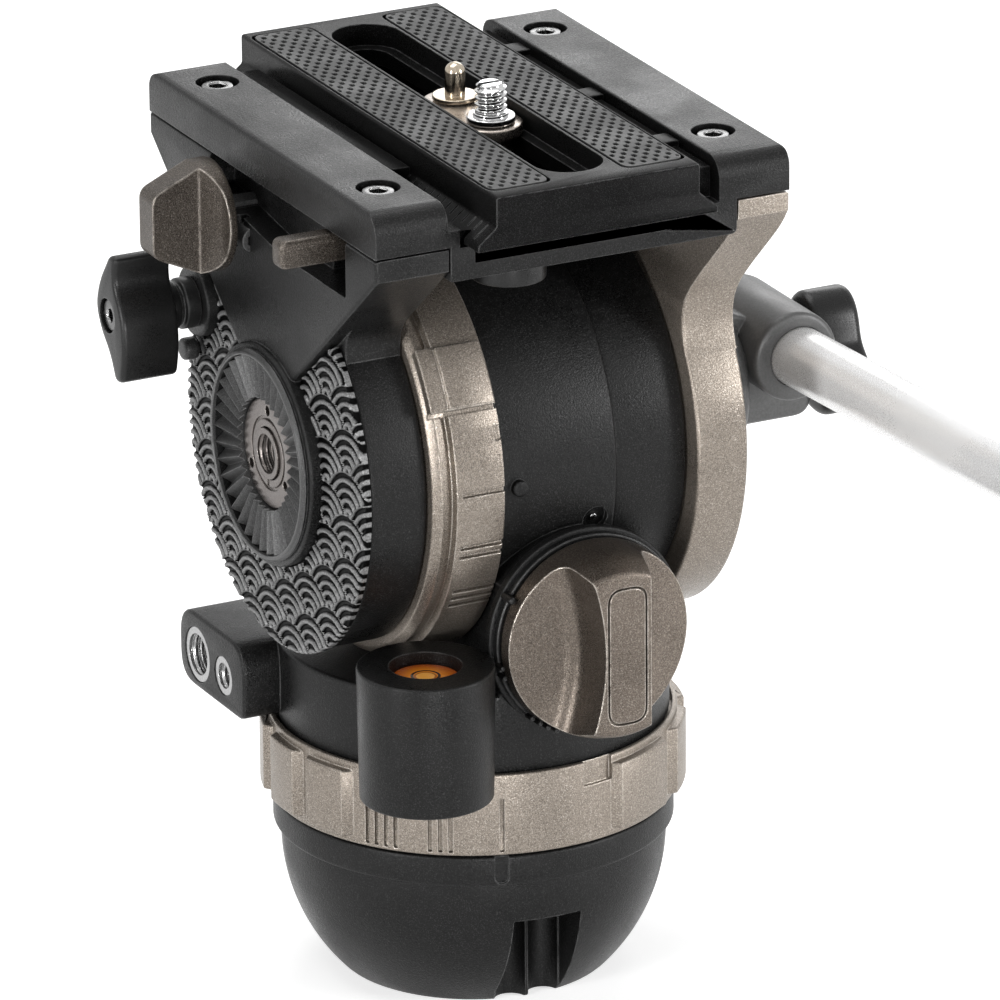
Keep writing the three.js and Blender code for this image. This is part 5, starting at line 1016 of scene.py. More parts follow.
def makeLeftArm(d):
    y, z, e = d["waistY"], d["waistZ"], d["edge"]
    trunkLine = outline([
        [d["near"], d["seam"]], [d["near"], d["shoulder"]], [-y - 2 * e, z + 2 * e, 2], [-y, z - e, 2],
        [-y, 0], [y, 0], [y, z - e, 2], [y + 2 * e, z + 2 * e, 2], [d["far"], d["shoulder"]],
        [d["far"], d["seam"]],
    ])

    def atLug(shape):
        return moved(shape, 0, d["lugY"], d["lugZ"])

    def atKnob(shape):
        return moved(shape, 0, d["knobY"], d["knobZ"])

    root, outer, rim, top = d["hubX"] + over, d["outer"] - over, d["rimX"], d["seam"] + over
    body = fuse(
        slab(veeLine(d), d["outer"], root, "x", 0.9), slab(trunkLine, d["hubX"], d["inner"], "x", 0.3),
        bar(d["hubRadius"], d["hubX"], d["inner"], "x", 0.6, 192),
        bar(d["bossRadius"], d["bossX"], root, "x", 0.6, 160),
        bar(d["rimRadius"] + 0.1, rim, d["bossX"] + over, "x", 0.35, 160),
        atLug(bar(d["lugRadius"], d["lugX"], d["lugRoot"], "x", 0.6)),
        atKnob(bar(d["collar"], d["collarX"], root, "x", 0.4))
    )
    w = window
    hole = outline([
        [w["near"], w["lowZ"], 0.8], [w["slantY"], w["lowZ"], 1], [w["far"], w["slantZ"], 1],
        [w["far"], top], [w["near"], top],
    ])
    return cut(
        body, slab(hole, outer, w["floorX"], "x"),
        block(w["floorX"] - over, w["deepX"], w["deepNear"], w["deepFar"], w["lowZ"], top),
        block(d["legX"], d["inner"] + over, d["legNear"], d["legFar"], d["legLow"], top),
        atKnob(bar(d["knobBore"], d["collarX"] - over, d["inner"], "x")),
        atKnob(ring(d["collar"] + d["collarGap"], d["pocket"], outer, d["outer"] + d["pocketDepth"], "x")),
        atLug(bar(d["lugBore"], d["lugX"] - over, d["lugFloor"], "x")),
        bar(rosette["radius"] + 0.15, rim - over, rosette["seatX"] + 0.2, "x", 0, 160),
        bar(d["hubSeat"], rim, d["hubFloor"], "x"), bar(d["hubBore"], rim, d["boreFloor"], "x"),
        moved(bar(d["stopBore"], d["bossX"] - over, d["stopFloor"], "x"), 0, stop["y"], stop["z"])
    )


addPiece("leftArm", makeLeftArm(arm), "casting", "tilt_frame", "left_arm")


# The end of the set screw beside the clamp knob, with its hexagon hole
def makeSetScrew(d):
    near = d["nubNear"]
    body = bar(d["nub"], near, d["knobY"] - 3, "y", 0.3, 48)
    return moved(cut(body, bar(d["nubHole"], near - over, near + 2, "y", 0, 6)), d["nubX"], 0, d["nubZ"])


addPiece("setScrew", makeSetScrew(arm), "darkGrey", "tilt_frame")

# Waves: rows of fans that overlap like scales. A point belongs to the lowest fan that covers it, and its
# distance from that fan's centre gives raised arcs with grooves between them.
waves = {
    "fan": 8.6, "arcs": 4.5, "start": 0.42, "phase": 2.1, "depth": 0.6, "low": 0.46, "high": 0.68,
    "step": 0.27, "softer": 0.04, "dark": 0.14, "light": 0.27, "hollowShade": 0.003,
}


# 0 in the middle of a groove and 1 in the middle of a ridge, for arrays of places and for wires alike
def waveSwing(y, z, spec):
    size = spec["fan"]
    row = (z + 400) / (size / 2)
    rowOver = row % 1
    along = y + spec["phase"] + 400
    offset = ((row - rowOver) % 2) * size
    first = ((along + offset) % (2 * size)) - size
    other = ((along + offset + size) % (2 * size)) - size
    # height of the point over the centre line of the fans one row up, in its row and one row down
    heights = [(rowOver + k) * (size / 2) for k in (1, 0, -1)]
    reach = [(u**2 + h**2) ** 0.5 for u, h in zip((other, first, other), heights)]
    inFirst = 1 - (reach[0] > size)
    inSecond = 1 - (reach[1] > size)
    far = reach[0] * inFirst + (1 - inFirst) * (reach[1] * inSecond + (1 - inSecond) * reach[2])
    turn = (far / size) * spec["arcs"]
    return abs(((turn + spec["start"]) % 1) - 0.5) * 2


# A smooth step for arrays: 3 s^2 - 2 s^3 between low and high
def smoothStep(value, low, high):
    share = np.clip((value - low) / (high - low), 0, 1)
    return share * share * (3 - 2 * share)


# A square relief: the face slopes back with the radius, rounds off at the rim and drops in the grooves
def waveRelief(d, spec):
    reach = d["radius"] + 1
    places = np.linspace(-reach, reach, int(2 * reach / spec["step"]))
    y, z = np.meshgrid(places, places, indexing="ij")
    far = np.hypot(y, z)
    slope = (far - d["inner"]) / (d["radius"] - d["inner"])
    rim = np.clip((far - d["radius"] + d["edge"]) / d["edge"], 0, 1) ** 2 * d["edge"]
    face = d["face"] + (d["rimFace"] - d["face"]) * slope + rim
    ridge = smoothStep(waveSwing(y, z + tiltAxis, spec), spec["low"], spec["high"])
    return skirted(np.stack([face + spec["depth"] * (1 - ridge), y, z], -1), 0, d["back"] + over)


# Pattern cover: a slightly coned ring with the V of the arm cut out of it
cover = {
    "inner": 22.1, "radius": 39.1, "back": -40.1, "face": -42.4, "rimFace": -41.7, "edge": 0.5, "grow": 0.25,
}


def makeCover(d):
    low, high = d["face"] - over, d["back"] + over
    return cut(
        meet(waveRelief(d, waves), ring(d["inner"], d["radius"], low, d["back"], "x", 0, 192)),
        slab(veeLine(arm, d["grow"]), low, high, "x"),
        moved(bar(arm["lugRadius"] + 0.2, low, high, "x"), 0, arm["lugY"], arm["lugZ"]),
        moved(bar(arm["stopBore"], low, high, "x"), 0, stop["y"], stop["z"])
    )


# Finish of the waves: the relief's own rule drawn in colour, ridges pale and grooves painted black as shade,
# metallic there so that they reflect nothing
def makeWaveFinish(spec):
    made = Finish("waves")
    x, y, z = made.parts()
    ridge = waveSwing(y, z, spec).rise(spec["low"] - spec["softer"], spec["high"])
    grain = made.noise(0.3, 2)
    tone = made.blend(grain.rise(0.3, 0.7), colour(spec["dark"]), colour(spec["light"]))
    made.set({
        # painted shade: the grooves take a near-black colour and are fully metallic, so they reflect nothing
        "Base Color": made.blend(ridge, colour(spec["hollowShade"]), tone), "Metallic": 1 - 0.6 * ridge,
        "Specular IOR Level": 0.3, "Roughness": 0.55 - 0.1 * ridge, "Normal": made.bump(grain, 0.03),
    })
    return made


ready["waves"] = makeWaveFinish(waves)
addPiece("patternCover", makeCover(cover), "waves", "tilt_frame", "pattern_cover")

r = rosette
teeth = teethRing(r["bore"], r["radius"], r["seatX"], r["rootX"], r["tipX"], r["teeth"])
addPiece("leftRosette", teeth, "darkGrey", "tilt_frame", "left_rosette")

# Rim round the left rosette, its outside a slope
rosetteRim = {"bore": 19.5, "low": 20.7, "top": 20.15, "back": -44.9, "face": -45.7, "edge": 0.2}


def makeRosetteRim(d):
    bore, back, face, edge = d["bore"], d["back"], d["face"], d["edge"]
    return turnedRing([
        [bore, back], [d["low"], back], [d["top"], face, edge], [bore, face, edge],
    ], "x", 160, 4)


addPiece("rosetteRim", makeRosetteRim(rosetteRim), "rimGrey", "tilt_frame")

# Hub plate: a bright disc with a ring groove, three locating holes, a slit and its thread insert
hub = {
    "radius": 10.7, "face": -43, "back": -40.6, "bore": 5.15, "pinCircle": 8.6, "pin": 1.0, "pinDepth": 1.4,
    "groove": 7, "grooveTop": 0.35, "grooveFloor": 0.25, "grooveDepth": 0.5, "slit": 0.5, "slitDepth": 0.4,
    "thread": {
        "wall": 5, "radius": 3.9, "depth": 0.5, "pitch": 1.1, "low": -43.4, "high": -36.6, "axis": "x",
        "facets": 72, "perTurn": 12,
    },
}


def makeHubPlate(d):
    face, groove, top, floor = d["face"], d["groove"], d["grooveTop"], d["grooveFloor"]
    corners = [
        [d["bore"], d["back"]], [d["radius"], d["back"]], [d["radius"], face, 0.35],
        [groove + top, face, 0.1], [groove + floor, face + d["grooveDepth"]],
        [groove - floor, face + d["grooveDepth"]], [groove - top, face, 0.1], [d["bore"], face, 0.3],
    ]
    hole = moved(bar(d["pin"], face - over, face + d["pinDepth"], "x", 0, 32), 0, 0, d["pinCircle"])
    slit = block(face - over, face + d["slitDepth"], -d["slit"], d["slit"], -groove, -d["bore"] + 0.4)
    return cut(turnedRing(corners, "x", 128, 4), *[spun(hole, 120 * i, "x") for i in range(3)], slit)


addPiece("hubPlate", makeHubPlate(hub), "hubGrey", "tilt_frame", "hub_plate")
addPiece("hubThread", threaded(**hub["thread"]), "hubGrey", "tilt_frame", "hub_thread_insert")


# Socket head screw with its top at the origin: a head with a dished rim and a hexagon socket
def socketScrew(d):
    head, shank = d["head"], d["shank"]
    top, end = -d["height"], -d["length"]
    body = turnedBar([
        [0, end], [shank, end, 0.3], [shank, top], [head, top, 0.1], [head, 0, 0.35], [0, 0],
    ], "z", 48, 4)
    socket = slab(hexagon(d["hex"]), -d["hexDepth"], over)
    return cut(body, socket, bar(d["hex"] * d["dish"], -d["dishDepth"], over, "z", 0, 32))


capScrew = {
    "x": 35.2, "near": -33.4, "far": 36.7, "railTop": 62.5, "sink": 0.6, "seat": 4.25, "head": 3.1,
    "height": 3.3, "shank": 1.9, "length": 15, "hex": 3.3, "hexDepth": 2, "dish": 0.58, "dishDepth": 0.25,
}
d = capScrew
places = [(side * d["x"], y) for side in (-1, 1) for y in (d["near"], d["far"])]
for i, (x, y) in enumerate(places):
    screw = moved(socketScrew(d), x, y, d["railTop"] - d["sink"])
    addPiece(f"capScrew{i + 1}", screw, "screwSteel", "tilt_frame", f"cap_screw_{i + 1}")


# Stop screw: a domed head on a short shank
def makeStop(d):
    radius, face, tip, depth = d["radius"], -d["rise"], d["tip"], d["depth"]
    profile = [[0, face], [radius, face, 0.8], [radius, 0, 0.2], [tip, 0], [tip, depth], [0, depth]]
    return moved(turnedBar(profile, "x", 48), d["x"], d["y"], d["z"])


addPiece("stopScrew", makeStop(stop), "darkGrey", "tilt_frame", "stop_screw")
print("drum, dial, tilt ring and left arm made")

# Right arm: a round disc under a flare, its profile an S seen from the operator's side
right = {
    "inner": 27.5, "outer": 38.3, "disc": 42, "neckY": 33.4, "neckZ": 27, "shoulder": 50, "topInner": 32.5,
    "topOuter": 43.4, "bendLow": 33, "bendHigh": 48, "seam": 53.7, "near": -49, "far": 50.5,
    "neckRound": 14, "edge": 0.8, "bendRound": 6, "topRound": 5, "bearing": 8.3, "bearingFloor": 35.7,
    "seat": 16.7, "seatFloor": 37.4, "bore": 3.8,
    "teeth": {"bore": 8, "radius": 16.4, "seat": 37.7, "root": 39, "tip": 39.9, "teeth": 40},
}


# One flank of the flare: straight down from the shoulder, then an arc that touches line and disc. Its
# centre is a round's radius off the line and disc plus round away from the middle.
def neckLine(d, y, sign):
    start = np.array([y, d["shoulder"]])
    way = np.array([sign * d["neckY"], d["neckZ"]]) - start
    way = way / np.linalg.norm(way)
    out = sign * np.array([-way[1], way[0]])
    radius = d["neckRound"]
    base = start + radius * out
    along = base @ way
    centre = base - (along + math.sqrt(along**2 - base @ base + (d["disc"] + radius) ** 2)) * way
    ends = np.unwrap([math.atan2(-out[1], -out[0]), math.atan2(-centre[1], -centre[0])])
    return np.concatenate([[start], centre + polar(radius, np.linspace(ends[0], ends[1], 24))])


def makeRightArm(d):
    inner, outer, low, bend = d["inner"], d["outer"], -d["disc"] - over, d["bendRound"]
    profile = outline([
        [inner, low], [inner, d["bendLow"], bend], [d["topInner"], d["bendHigh"], d["topRound"]],
        [d["topInner"], d["seam"]], [d["topOuter"], d["seam"]],
        [d["topOuter"], d["bendHigh"], d["topRound"]], [outer, d["bendLow"], bend], [outer, low],
    ], 14)
    near, far = neckLine(d, d["near"], -1), neckLine(d, d["far"], 1)
    side = np.concatenate([[[d["near"], d["seam"]]], near, far[::-1], [[d["far"], d["seam"]]]])
    disc = bar(d["disc"], inner, outer, "x", d["edge"], 192)
    blank = fuse(disc, slab(side, inner, d["topOuter"], "x", d["edge"]))
    return cut(
        meet(blank, slab(profile, d["near"] - over, d["far"] + over, "y")),
        bar(d["bearing"], inner - over, d["bearingFloor"], "x"),
        bar(d["seat"], d["seatFloor"], outer + over, "x", 0, 128), bar(d["bore"], inner, outer + over, "x")
    )


addPiece("rightArm", makeRightArm(right), "champagne", "tilt_frame", "right_arm")
addPiece("rightRosette", teethRing(**right["teeth"]), "steel", "tilt_frame", "right_rosette")

# Platform: two rails with rounded ends and a channel between them
rails = {
    "half": 43.4, "innerHalf": 28.4, "near": -49, "far": 50.5, "seam": 54, "top": 62.5, "floorLow": 47.2,
    "floorTop": 50.6, "ledgeTop": 54, "ledgeX": 22.6, "stepX": 25.7, "stepZ": 57.4, "leftX": -27.9,
    "rightX": 32.2, "edge": 1.3, "round": 5, "seatDepth": 4, "jawWall": 1.8, "jawNear": -20.3,
    "jawFar": 46.3, "jawTop": 60.7, "legX": -34, "legNear": 8.7, "legFar": 22.3, "legDepth": 8,
}
floorBoss = {"radius": 7.2, "low": 42, "top": 47.1, "edge": 0.5, "x": -10, "y": -37}


def makePlatform(d):
    section = outline([
        [d["leftX"], d["floorLow"], 0.4], [d["rightX"], d["floorLow"], d["edge"]], [d["rightX"], d["seam"]],
        [d["half"], d["seam"]], [d["half"], d["top"], d["edge"]], [d["innerHalf"], d["top"], 0.5],
        [d["innerHalf"], d["ledgeTop"]], [d["ledgeX"], d["ledgeTop"], 0.2], [d["ledgeX"], d["floorTop"]],
        [-d["ledgeX"], d["floorTop"]], [-d["ledgeX"], d["ledgeTop"], 0.2], [-d["stepX"], d["ledgeTop"]],
        [-d["stepX"], d["stepZ"], 0.2], [-d["innerHalf"], d["stepZ"]], [-d["innerHalf"], d["top"], 0.5],
        [-d["half"], d["top"], d["edge"]], [-d["half"], d["seam"]], [d["leftX"], d["seam"]],
    ], 6)
    side = outline([
        [d["near"], d["floorLow"]], [d["far"], d["floorLow"]], [d["far"], d["top"], d["round"]],
        [d["near"], d["top"], d["round"]],
    ], 14)
    body = meet(
        slab(section, d["near"], d["far"], "y", 0.25, 2),
        slab(side, -d["half"] - over, d["half"] + over, "x")
    )
    wall, top = -d["innerHalf"], d["jawTop"]
    seat = bar(capScrew["seat"], d["top"] - d["seatDepth"], d["top"] + over, "z", 0, 64)
    return cut(
        body, block(wall - d["jawWall"], wall + over, d["jawNear"], d["jawFar"], d["stepZ"], top),
        block(d["legX"], wall + 0.3, d["legNear"], d["legFar"], d["seam"] - d["legDepth"], top),
        *[moved(seat, x, y) for x, y in places]
    )


addPiece("platformRails", makePlatform(rails), "casting", "tilt_frame", "platform")
f = floorBoss
boss = moved(bar(f["radius"], f["low"], f["top"], "z", f["edge"]), f["x"], f["y"])
addPiece("floorBoss", boss, "plastic", "tilt_frame", "floor_boss")

# Fixed jaw: a black strip with three raised lugs. Moving jaw: a strip with a leg to its screw.
jaws = {
    "wall": 28.1, "tip": 21.9, "slabZ": 58.8, "wingZ": 55.7, "base": 25.7, "top": 60.4, "near": -46,
    "far": 47, "low": 54.2, "lug": 0.027, "lugRise": 1.2, "lugEdge": 0.2, "tipGap": 0.3, "edge": 0.3,
    "tipEdge": 0.5, "wallEdge": 0.4,
}
movingJaw = {
    "low": 57.7, "foot": 22.9, "near": -20, "far": 46, "legX": -32.2, "legRight": -28.6, "legNear": 9,
    "legFar": 22, "legLow": 39, "bore": 3.3, "boreY": 15.6, "boreZ": 44.2,
}


# One lug in the middle of each third of the length
def makeFixedJaw(d):
    tip, top, gap = d["tip"], d["top"], d["tipGap"]
    shape = outline([
        [d["wall"], d["low"]], [d["wall"], top, d["wallEdge"]], [tip, top, d["tipEdge"]],
        [tip, d["slabZ"] + gap, gap], [d["base"], d["wingZ"] + gap], [d["base"], d["low"]],
    ], 4)
    length = d["far"] - d["near"]
    half = length * d["lug"]
    middles = [d["near"] + length * (i + 0.5) / 3 for i in range(3)]
    lugs = [
        block(
            tip + 0.4, d["wall"], middle - half, middle + half, top - over, top + d["lugRise"], d["lugEdge"]
        ) for middle in middles
    ]
    return fuse(slab(shape, d["near"], d["far"], "y", d["edge"]), *lugs)


def makeMovingJaw(d, m):
    wall, top, low, edge = -d["wall"], d["top"], m["low"], d["edge"]
    shape = outline([
        [wall, low], [-m["foot"], low], [-d["tip"], d["slabZ"] + d["tipGap"], d["tipGap"]],
        [-d["tip"], top, d["tipEdge"]], [wall, top, d["wallEdge"]],
    ], 4)
    body = fuse(
        slab(shape, m["near"], m["far"], "y", edge),
        block(m["legX"], wall + 0.4, m["legNear"], m["legFar"], low, top, edge),
        block(m["legX"], m["legRight"], m["legNear"], m["legFar"], m["legLow"], top, edge)
    )
    return cut(
        body, moved(bar(m["bore"], m["legX"] - over, m["legRight"] + over, "x"), 0, m["boreY"], m["boreZ"])
    )


addPiece("fixedJaw", makeFixedJaw(jaws), "smoothBlack", "tilt_frame", "fixed_jaw")
addPiece("movingJaw", makeMovingJaw(jaws, movingJaw), "smoothBlack", "jaw", "moving_jaw")
print("right arm and platform made")

# Camera plate: a dovetail foot under a slab, a stepped slot, two pad beds, and a ruler on the left slope
plate = {
    "half": 21.3, "base": 25.1, "near": -54.9, "far": 55.6, "top": 64.6, "slab": 58.8, "wing": 55.7,
    "low": 54.3, "edge": 0.7, "slotHalf": 6.9, "slotNear": -48.5, "slotFar": 50.3, "ledge": 2.3,
    "ledgeTop": 60.2, "ledgeLow": 57, "channel": 6, "tickPitch": 2.5, "ticks": 34, "tick": 0.35,
    "tickLong": 3.6, "tickShort": 2.2, "tickDepth": 0.25, "tickStart": 3, "tickIn": 0.3,
}
pads = {
    "inner": 7.9, "outer": 20.2, "near": -50.6, "far": 52.9, "depth": 1.6, "proud": 0.1, "corner": 2.4,
    "gap": 0.55, "sink": 0.3,
}


def makePlate(d):
    section = outline([
        [-d["base"], d["low"], 0.3], [d["base"], d["low"], 0.3], [d["base"], d["wing"], 0.5],
        [d["half"], d["slab"], 0.4], [d["half"], d["top"], d["edge"]], [-d["half"], d["top"], d["edge"]],
        [-d["half"], d["slab"], 0.4], [-d["base"], d["wing"], 0.5],
    ], 5)
    body = slab(section, d["near"], d["far"], "y", 0.45, 2)
    half, near, far, ledge = d["slotHalf"], d["slotNear"], d["slotFar"], d["ledge"]
    p, gap = pads, pads["gap"]
    bed = roundedBox(p["inner"] - gap, p["outer"] + gap, p["near"] - gap, p["far"] + gap, p["corner"])
    beds = [slab(bed * [side, 1], d["top"] - p["depth"], d["top"] + over) for side in (-1, 1)]
    slope = math.degrees(math.atan2(d["slab"] - d["wing"], d["base"] - d["half"]))
    ticks = []
    for i in range(d["ticks"]):
        length = d["tickShort"] if i % 4 else d["tickLong"]
        tick = spun(
            block(-over, d["tickDepth"], -d["tick"] / 2, d["tick"] / 2, -length, 0), 90 - slope, "y"
        )
        y = d["near"] + d["tickStart"] + i * d["tickPitch"]
        ticks.append(moved(tick, -d["half"] - d["tickIn"], y, d["slab"] - d["tickIn"]))
    return cut(
        body, slab(obround(half, near, far), d["ledgeTop"], d["top"] + over),
        slab(obround(half - ledge, near + ledge, far - ledge), d["low"] - over, d["top"]),
        slab(obround(d["channel"], near, far), d["low"] - over, d["ledgeLow"]), *beds, *ticks
    )


addPiece("cameraPlate", makePlate(plate), "smoothBlack", "plate", "camera_plate")

# Rubber pads: staggered diamond pits over the whole top, faded out along the edge.
# The pit depth follows cos(pi x / a) cos(pi y / b), which is 1 at both sets of pit centres.
knurl = {
    "across": 1.24, "along": 1.88, "low": 0.34, "high": 0.56, "depth": 0.9, "steps": 7, "margin": 0.55,
    "drawn": 0.72, "dark": 0.05, "light": 0.095, "hollowShade": 0.002,
}


def makePad(side):
    p, k = pads, knurl
    x0, x1 = sorted((side * p["inner"], side * p["outer"]))
    width, length = x1 - x0, p["far"] - p["near"]
    columns, rows = [
        int(run / k[way] * k["steps"]) + 1 for run, way in ((width, "across"), (length, "along"))
    ]
    u = np.linspace(0, 1, columns)[:, None] + np.zeros((1, rows))
    v = np.zeros((columns, 1)) + np.linspace(0, 1, rows)[None, :]
    # the corners of the grid are drawn in to the rounded outline of the pad
    y = p["near"] + length * v
    fromEnd = np.minimum(y - p["near"], p["far"] - y)
    shrink = p["corner"] - np.sqrt(
        np.maximum(0, p["corner"] ** 2 - np.maximum(0, p["corner"] - fromEnd) ** 2)
    )
    x = (x0 + x1) / 2 + (u * 2 - 1) * (width / 2 - shrink * k["drawn"])
    product = np.cos(math.pi * x / k["across"]) * np.cos(math.pi * y / k["along"])
    border = np.minimum(np.minimum(u * width, (1 - u) * width), fromEnd)
    pit = smoothStep(product, k["low"], k["high"]) * np.clip(border / k["margin"] - 0.4, 0, 1)
    top = plate["top"] + p["proud"] - k["depth"] * pit
    return skirted(np.stack([x, y, top], -1), 2, plate["top"] - p["depth"] + p["sink"])


# Pad rubber: as the rubber, with painted shade in the pits: black there, and metallic so that they reflect
# nothing
def makePadFinish():
    made = Finish("padRubber")
    x, y, z = made.parts()
    depth, dark, light = knurl["depth"], colour(knurl["dark"]), colour(knurl["light"])
    height = z - (plate["top"] + tiltAxis + pads["proud"] - depth)
    raised = height.rise(depth * 0.3, depth * 0.95)
    grain = made.noise(0.25, 3)
    dust = made.noise(9, 3).rise(0.35, 0.75)
    tone = made.blend(grain.rise(0.3, 0.7) * 0.6 + dust * 0.4, dark, light)
    made.set({
        # painted shade: the pits are near black and fully metallic
        "Base Color": made.blend(raised, colour(knurl["hollowShade"]), tone), "Metallic": 1 - raised,
        "Specular IOR Level": 0.3, "Roughness": 0.62 - 0.12 * dust, "Normal": made.bump(grain, 0.02, 0.7),
    })
    return made


ready["padRubber"] = makePadFinish()
addPiece("leftPad", makePad(-1), "padRubber", "plate", "left_pad", sharp=40)
addPiece("rightPad", makePad(1), "padRubber", "plate", "right_pad", sharp=40)

# Carriage: a bright slider with round ends, a stem and a foot under the ledges
carriage = {
    "half": 6.4, "near": -15.8, "far": 11.5, "top": 62.8, "stem": 4.2, "foot": 5.4, "low": 60.5,
    "footTop": 56.7, "footHeight": 1.6, "bore": 3.4, "boreY": -10,
}


def makeCarriage(d):
    ends = d["half"] - d["stem"]
    near, far, footTop = d["near"] + ends, d["far"] - ends, d["footTop"]
    footLow = footTop - d["footHeight"]
    body = fuse(
        slab(obround(d["half"], d["near"], d["far"]), d["low"], d["top"], "z", 0.35),
        slab(obround(d["stem"], near, far), footTop - 0.8, d["low"] + 0.3),
        slab(obround(d["foot"], near, far), footLow, footTop, "z", 0.2)
    )
    return cut(body, moved(bar(d["bore"], footLow - over, d["top"] + over), 0, d["boreY"]))


addPiece("carriage", makeCarriage(carriage), "nickel", "carriage", "screw_carriage")

# Locating pin: a washer and a pin with a long rounded nose
pin = {"y": 5.2, "low": 63.1, "washer": 4.4, "washerHeight": 0.8, "radius": 2, "height": 6.4, "dome": 1.9}


def makePin(d):
    washer, low, radius = d["washer"], d["low"], d["radius"]
    shoulder = low + d["washerHeight"]
    turn = np.linspace(0, math.pi / 2, 12)
    nose = np.stack([radius * np.cos(turn), shoulder + d["height"] - d["dome"] * (1 - np.sin(turn))], -1)
    nose[-1, 0] = 0
    foot = softLine([[0, low], [washer, low, 0.15], [washer, shoulder, 0.2], [radius, shoulder]], 4)
    return moved(turned(np.concatenate([foot, nose]), "z", 64), 0, d["y"], 0)


addPiece("locatingPin", makePin(pin), "brass", "carriage", "locating_pin")

# Camera screw: a washer, a collar and a short real thread with a driver slot
bolt = {
    "y": -10, "stemLow": 55.4, "low": 63.1, "knurl": 4.7, "knurlHeight": 1.2, "collar": 3.5,
    "collarHeight": 0.7, "radius": 3.1, "root": 2.5, "pitch": 1.27, "threads": 4, "slot": 1.1,
    "slotDepth": 1.2, "taper": 0.35,
}


def makeCameraScrew(d):
    low, radius, root, pitch = d["low"], d["radius"], d["root"], d["pitch"]
    collarLow = low + d["knurlHeight"]
    threadLow = collarLow + d["collarHeight"]
    top = threadLow + d["threads"] * pitch + pitch / 2
    foot = [
        [0, d["stemLow"]], [radius, d["stemLow"], 0.2], [radius, low], [d["knurl"], low, 0.2],
        [d["knurl"], collarLow, 0.3], [d["collar"], collarLow], [d["collar"], threadLow, 0.25],
        [root - 0.1, threadLow], [root - 0.1, threadLow + 0.5], [0, threadLow + 0.5],
    ]
    angle = fullTurn(64)
    height = np.linspace(threadLow, top, 64)[None, :] + 0 * angle
    tip = np.clip((top - height) / (pitch * 0.55), 0, 1)
    swing = flank(height / pitch - angle / tau, 1.8, 0.4)
    reach = root - d["taper"] * (1 - tip) + (radius - root) * swing * tip
    zero = np.zeros((len(angle), 1))
    reach = np.concatenate([zero, reach, zero], 1)
    height = np.concatenate([zero + threadLow, height, zero + top], 1)
    half, wide = d["slot"] / 2, radius + over
    body = fuse(turnedBar(foot, "z", 96, 4), swept(angle, reach, height, "z", False))
    return moved(cut(body, block(-wide, wide, -half, half, top - d["slotDepth"], top + over)), 0, d["y"])


addPiece("cameraScrew", makeCameraScrew(bolt), "chrome", "camera_bolt", "camera_screw")

# Clamp knob: a tapering side view met with a round bar, then cut on both faces down to a blade
clampKnob = {
    "y": 15.6, "z": 44.2, "x": -46.2, "radius": 11, "root": -2.6, "tip": -14.2, "tipHalf": 6.1,
    "rootHalf": 11.4, "corner": 1.8, "rootCorner": 1.4, "edge": 0.6, "blade": 3.0, "crease": -4.4,
    "facetX": -2.0, "facetY": 8.4,
}


def makeClampKnob(d):
    tip, root, tipHalf, rootHalf = d["tip"], d["root"], d["tipHalf"], d["rootHalf"]
    side = outline([
        [0, -rootHalf], [root, -rootHalf, d["rootCorner"]], [tip, -tipHalf, d["corner"]],
        [tip, tipHalf, d["corner"]], [root, rootHalf, d["rootCorner"]], [0, rootHalf],
    ])
    wide = rootHalf + over
    faces = []
    for way in (-1, 1):
        line = outline([
            [tip - over, way * d["blade"]], [d["crease"], way * d["blade"], 0.3],
            [d["facetX"], way * d["facetY"], 0.8], [d["facetX"] + 0.6, way * wide], [tip - over, way * wide],
        ])
        faces.append(slab(line, -wide, wide))
    body = meet(slab(side, -wide, wide, "y"), bar(d["radius"], tip - over, 0, "x", d["edge"], 160))
    return moved(cut(body, *faces), d["x"], d["y"], d["z"])


addPiece("clampKnob", makeClampKnob(clampKnob), "bronze", "plate_clamp", "clamp_knob")

# Release lever: a flat finger blade with rounded edges on its eye
lever = {
    "tip": -53.8, "pivotX": -36.4, "pivotY": -27.8, "thick": 4, "low": 47.7, "top": 53.4, "eye": 2.5,
    "pin": 1.5, "round": 1.6, "edge": 0.7,
}


def makeLever(d):
    x, y, low, top, half = d["pivotX"], d["pivotY"], d["low"], d["top"], d["thick"] / 2
    blade = slab(roundedBox(d["tip"], x, low, top, d["round"]), y - half, y + half, "y", d["edge"])
    eye = moved(bar(d["eye"], low, top, "z", 0.2), x, y)
    return cut(fuse(blade, eye), moved(bar(d["pin"] + 0.2, low - over, top + over), x, y))


addPiece("releaseLever", makeLever(lever), "bronze", "lever", "release_lever")

# Tilt lock knob: a two-lobed wing on a ringed neck, with a hex screw sunk in its end. The shares are the
# corners of its outline in parts of the half width and half height, and their rounds.
lockKnob = {
    "tip": -62, "back": -50, "halfWidth": 6.2, "halfHeight": 12.6, "neck": 5, "neckEnd": 5.8, "groove": 0.7,
    "screwGap": 0.35, "screwDepth": 4, "screwSink": 0.6, "y": 31, "z": 21.2,
    "shares": [
        [-0.62, 1, 0.2], [-0.16, 1, 0.2], [0.6, 0.5, 0.4], [0.9, 0.08, 0.4], [0.55, -0.3, 0.4],
        [-0.1, -0.6, 0.4], [-0.5, -1, 0.22], [-0.98, -0.95, 0.22], [-1.2, -0.45, 0.5], [-1.08, 0.12, 0.45],
        [-0.48, 0.55, 0.4],
    ],
}
lockScrew = {
    "head": 3.1, "height": 3, "shank": 2.85, "length": 27, "hex": 2.6, "hexDepth": 2, "dish": 0.58,
    "dishDepth": 0.25,
}


def lockWing(d, low, high):
    w, h = d["halfWidth"], d["halfHeight"]
    line = outline([[u * w, v * h, size * w] for u, v, size in d["shares"]], 9)
    return slab(line, low, high, "x", 0.9, 4)


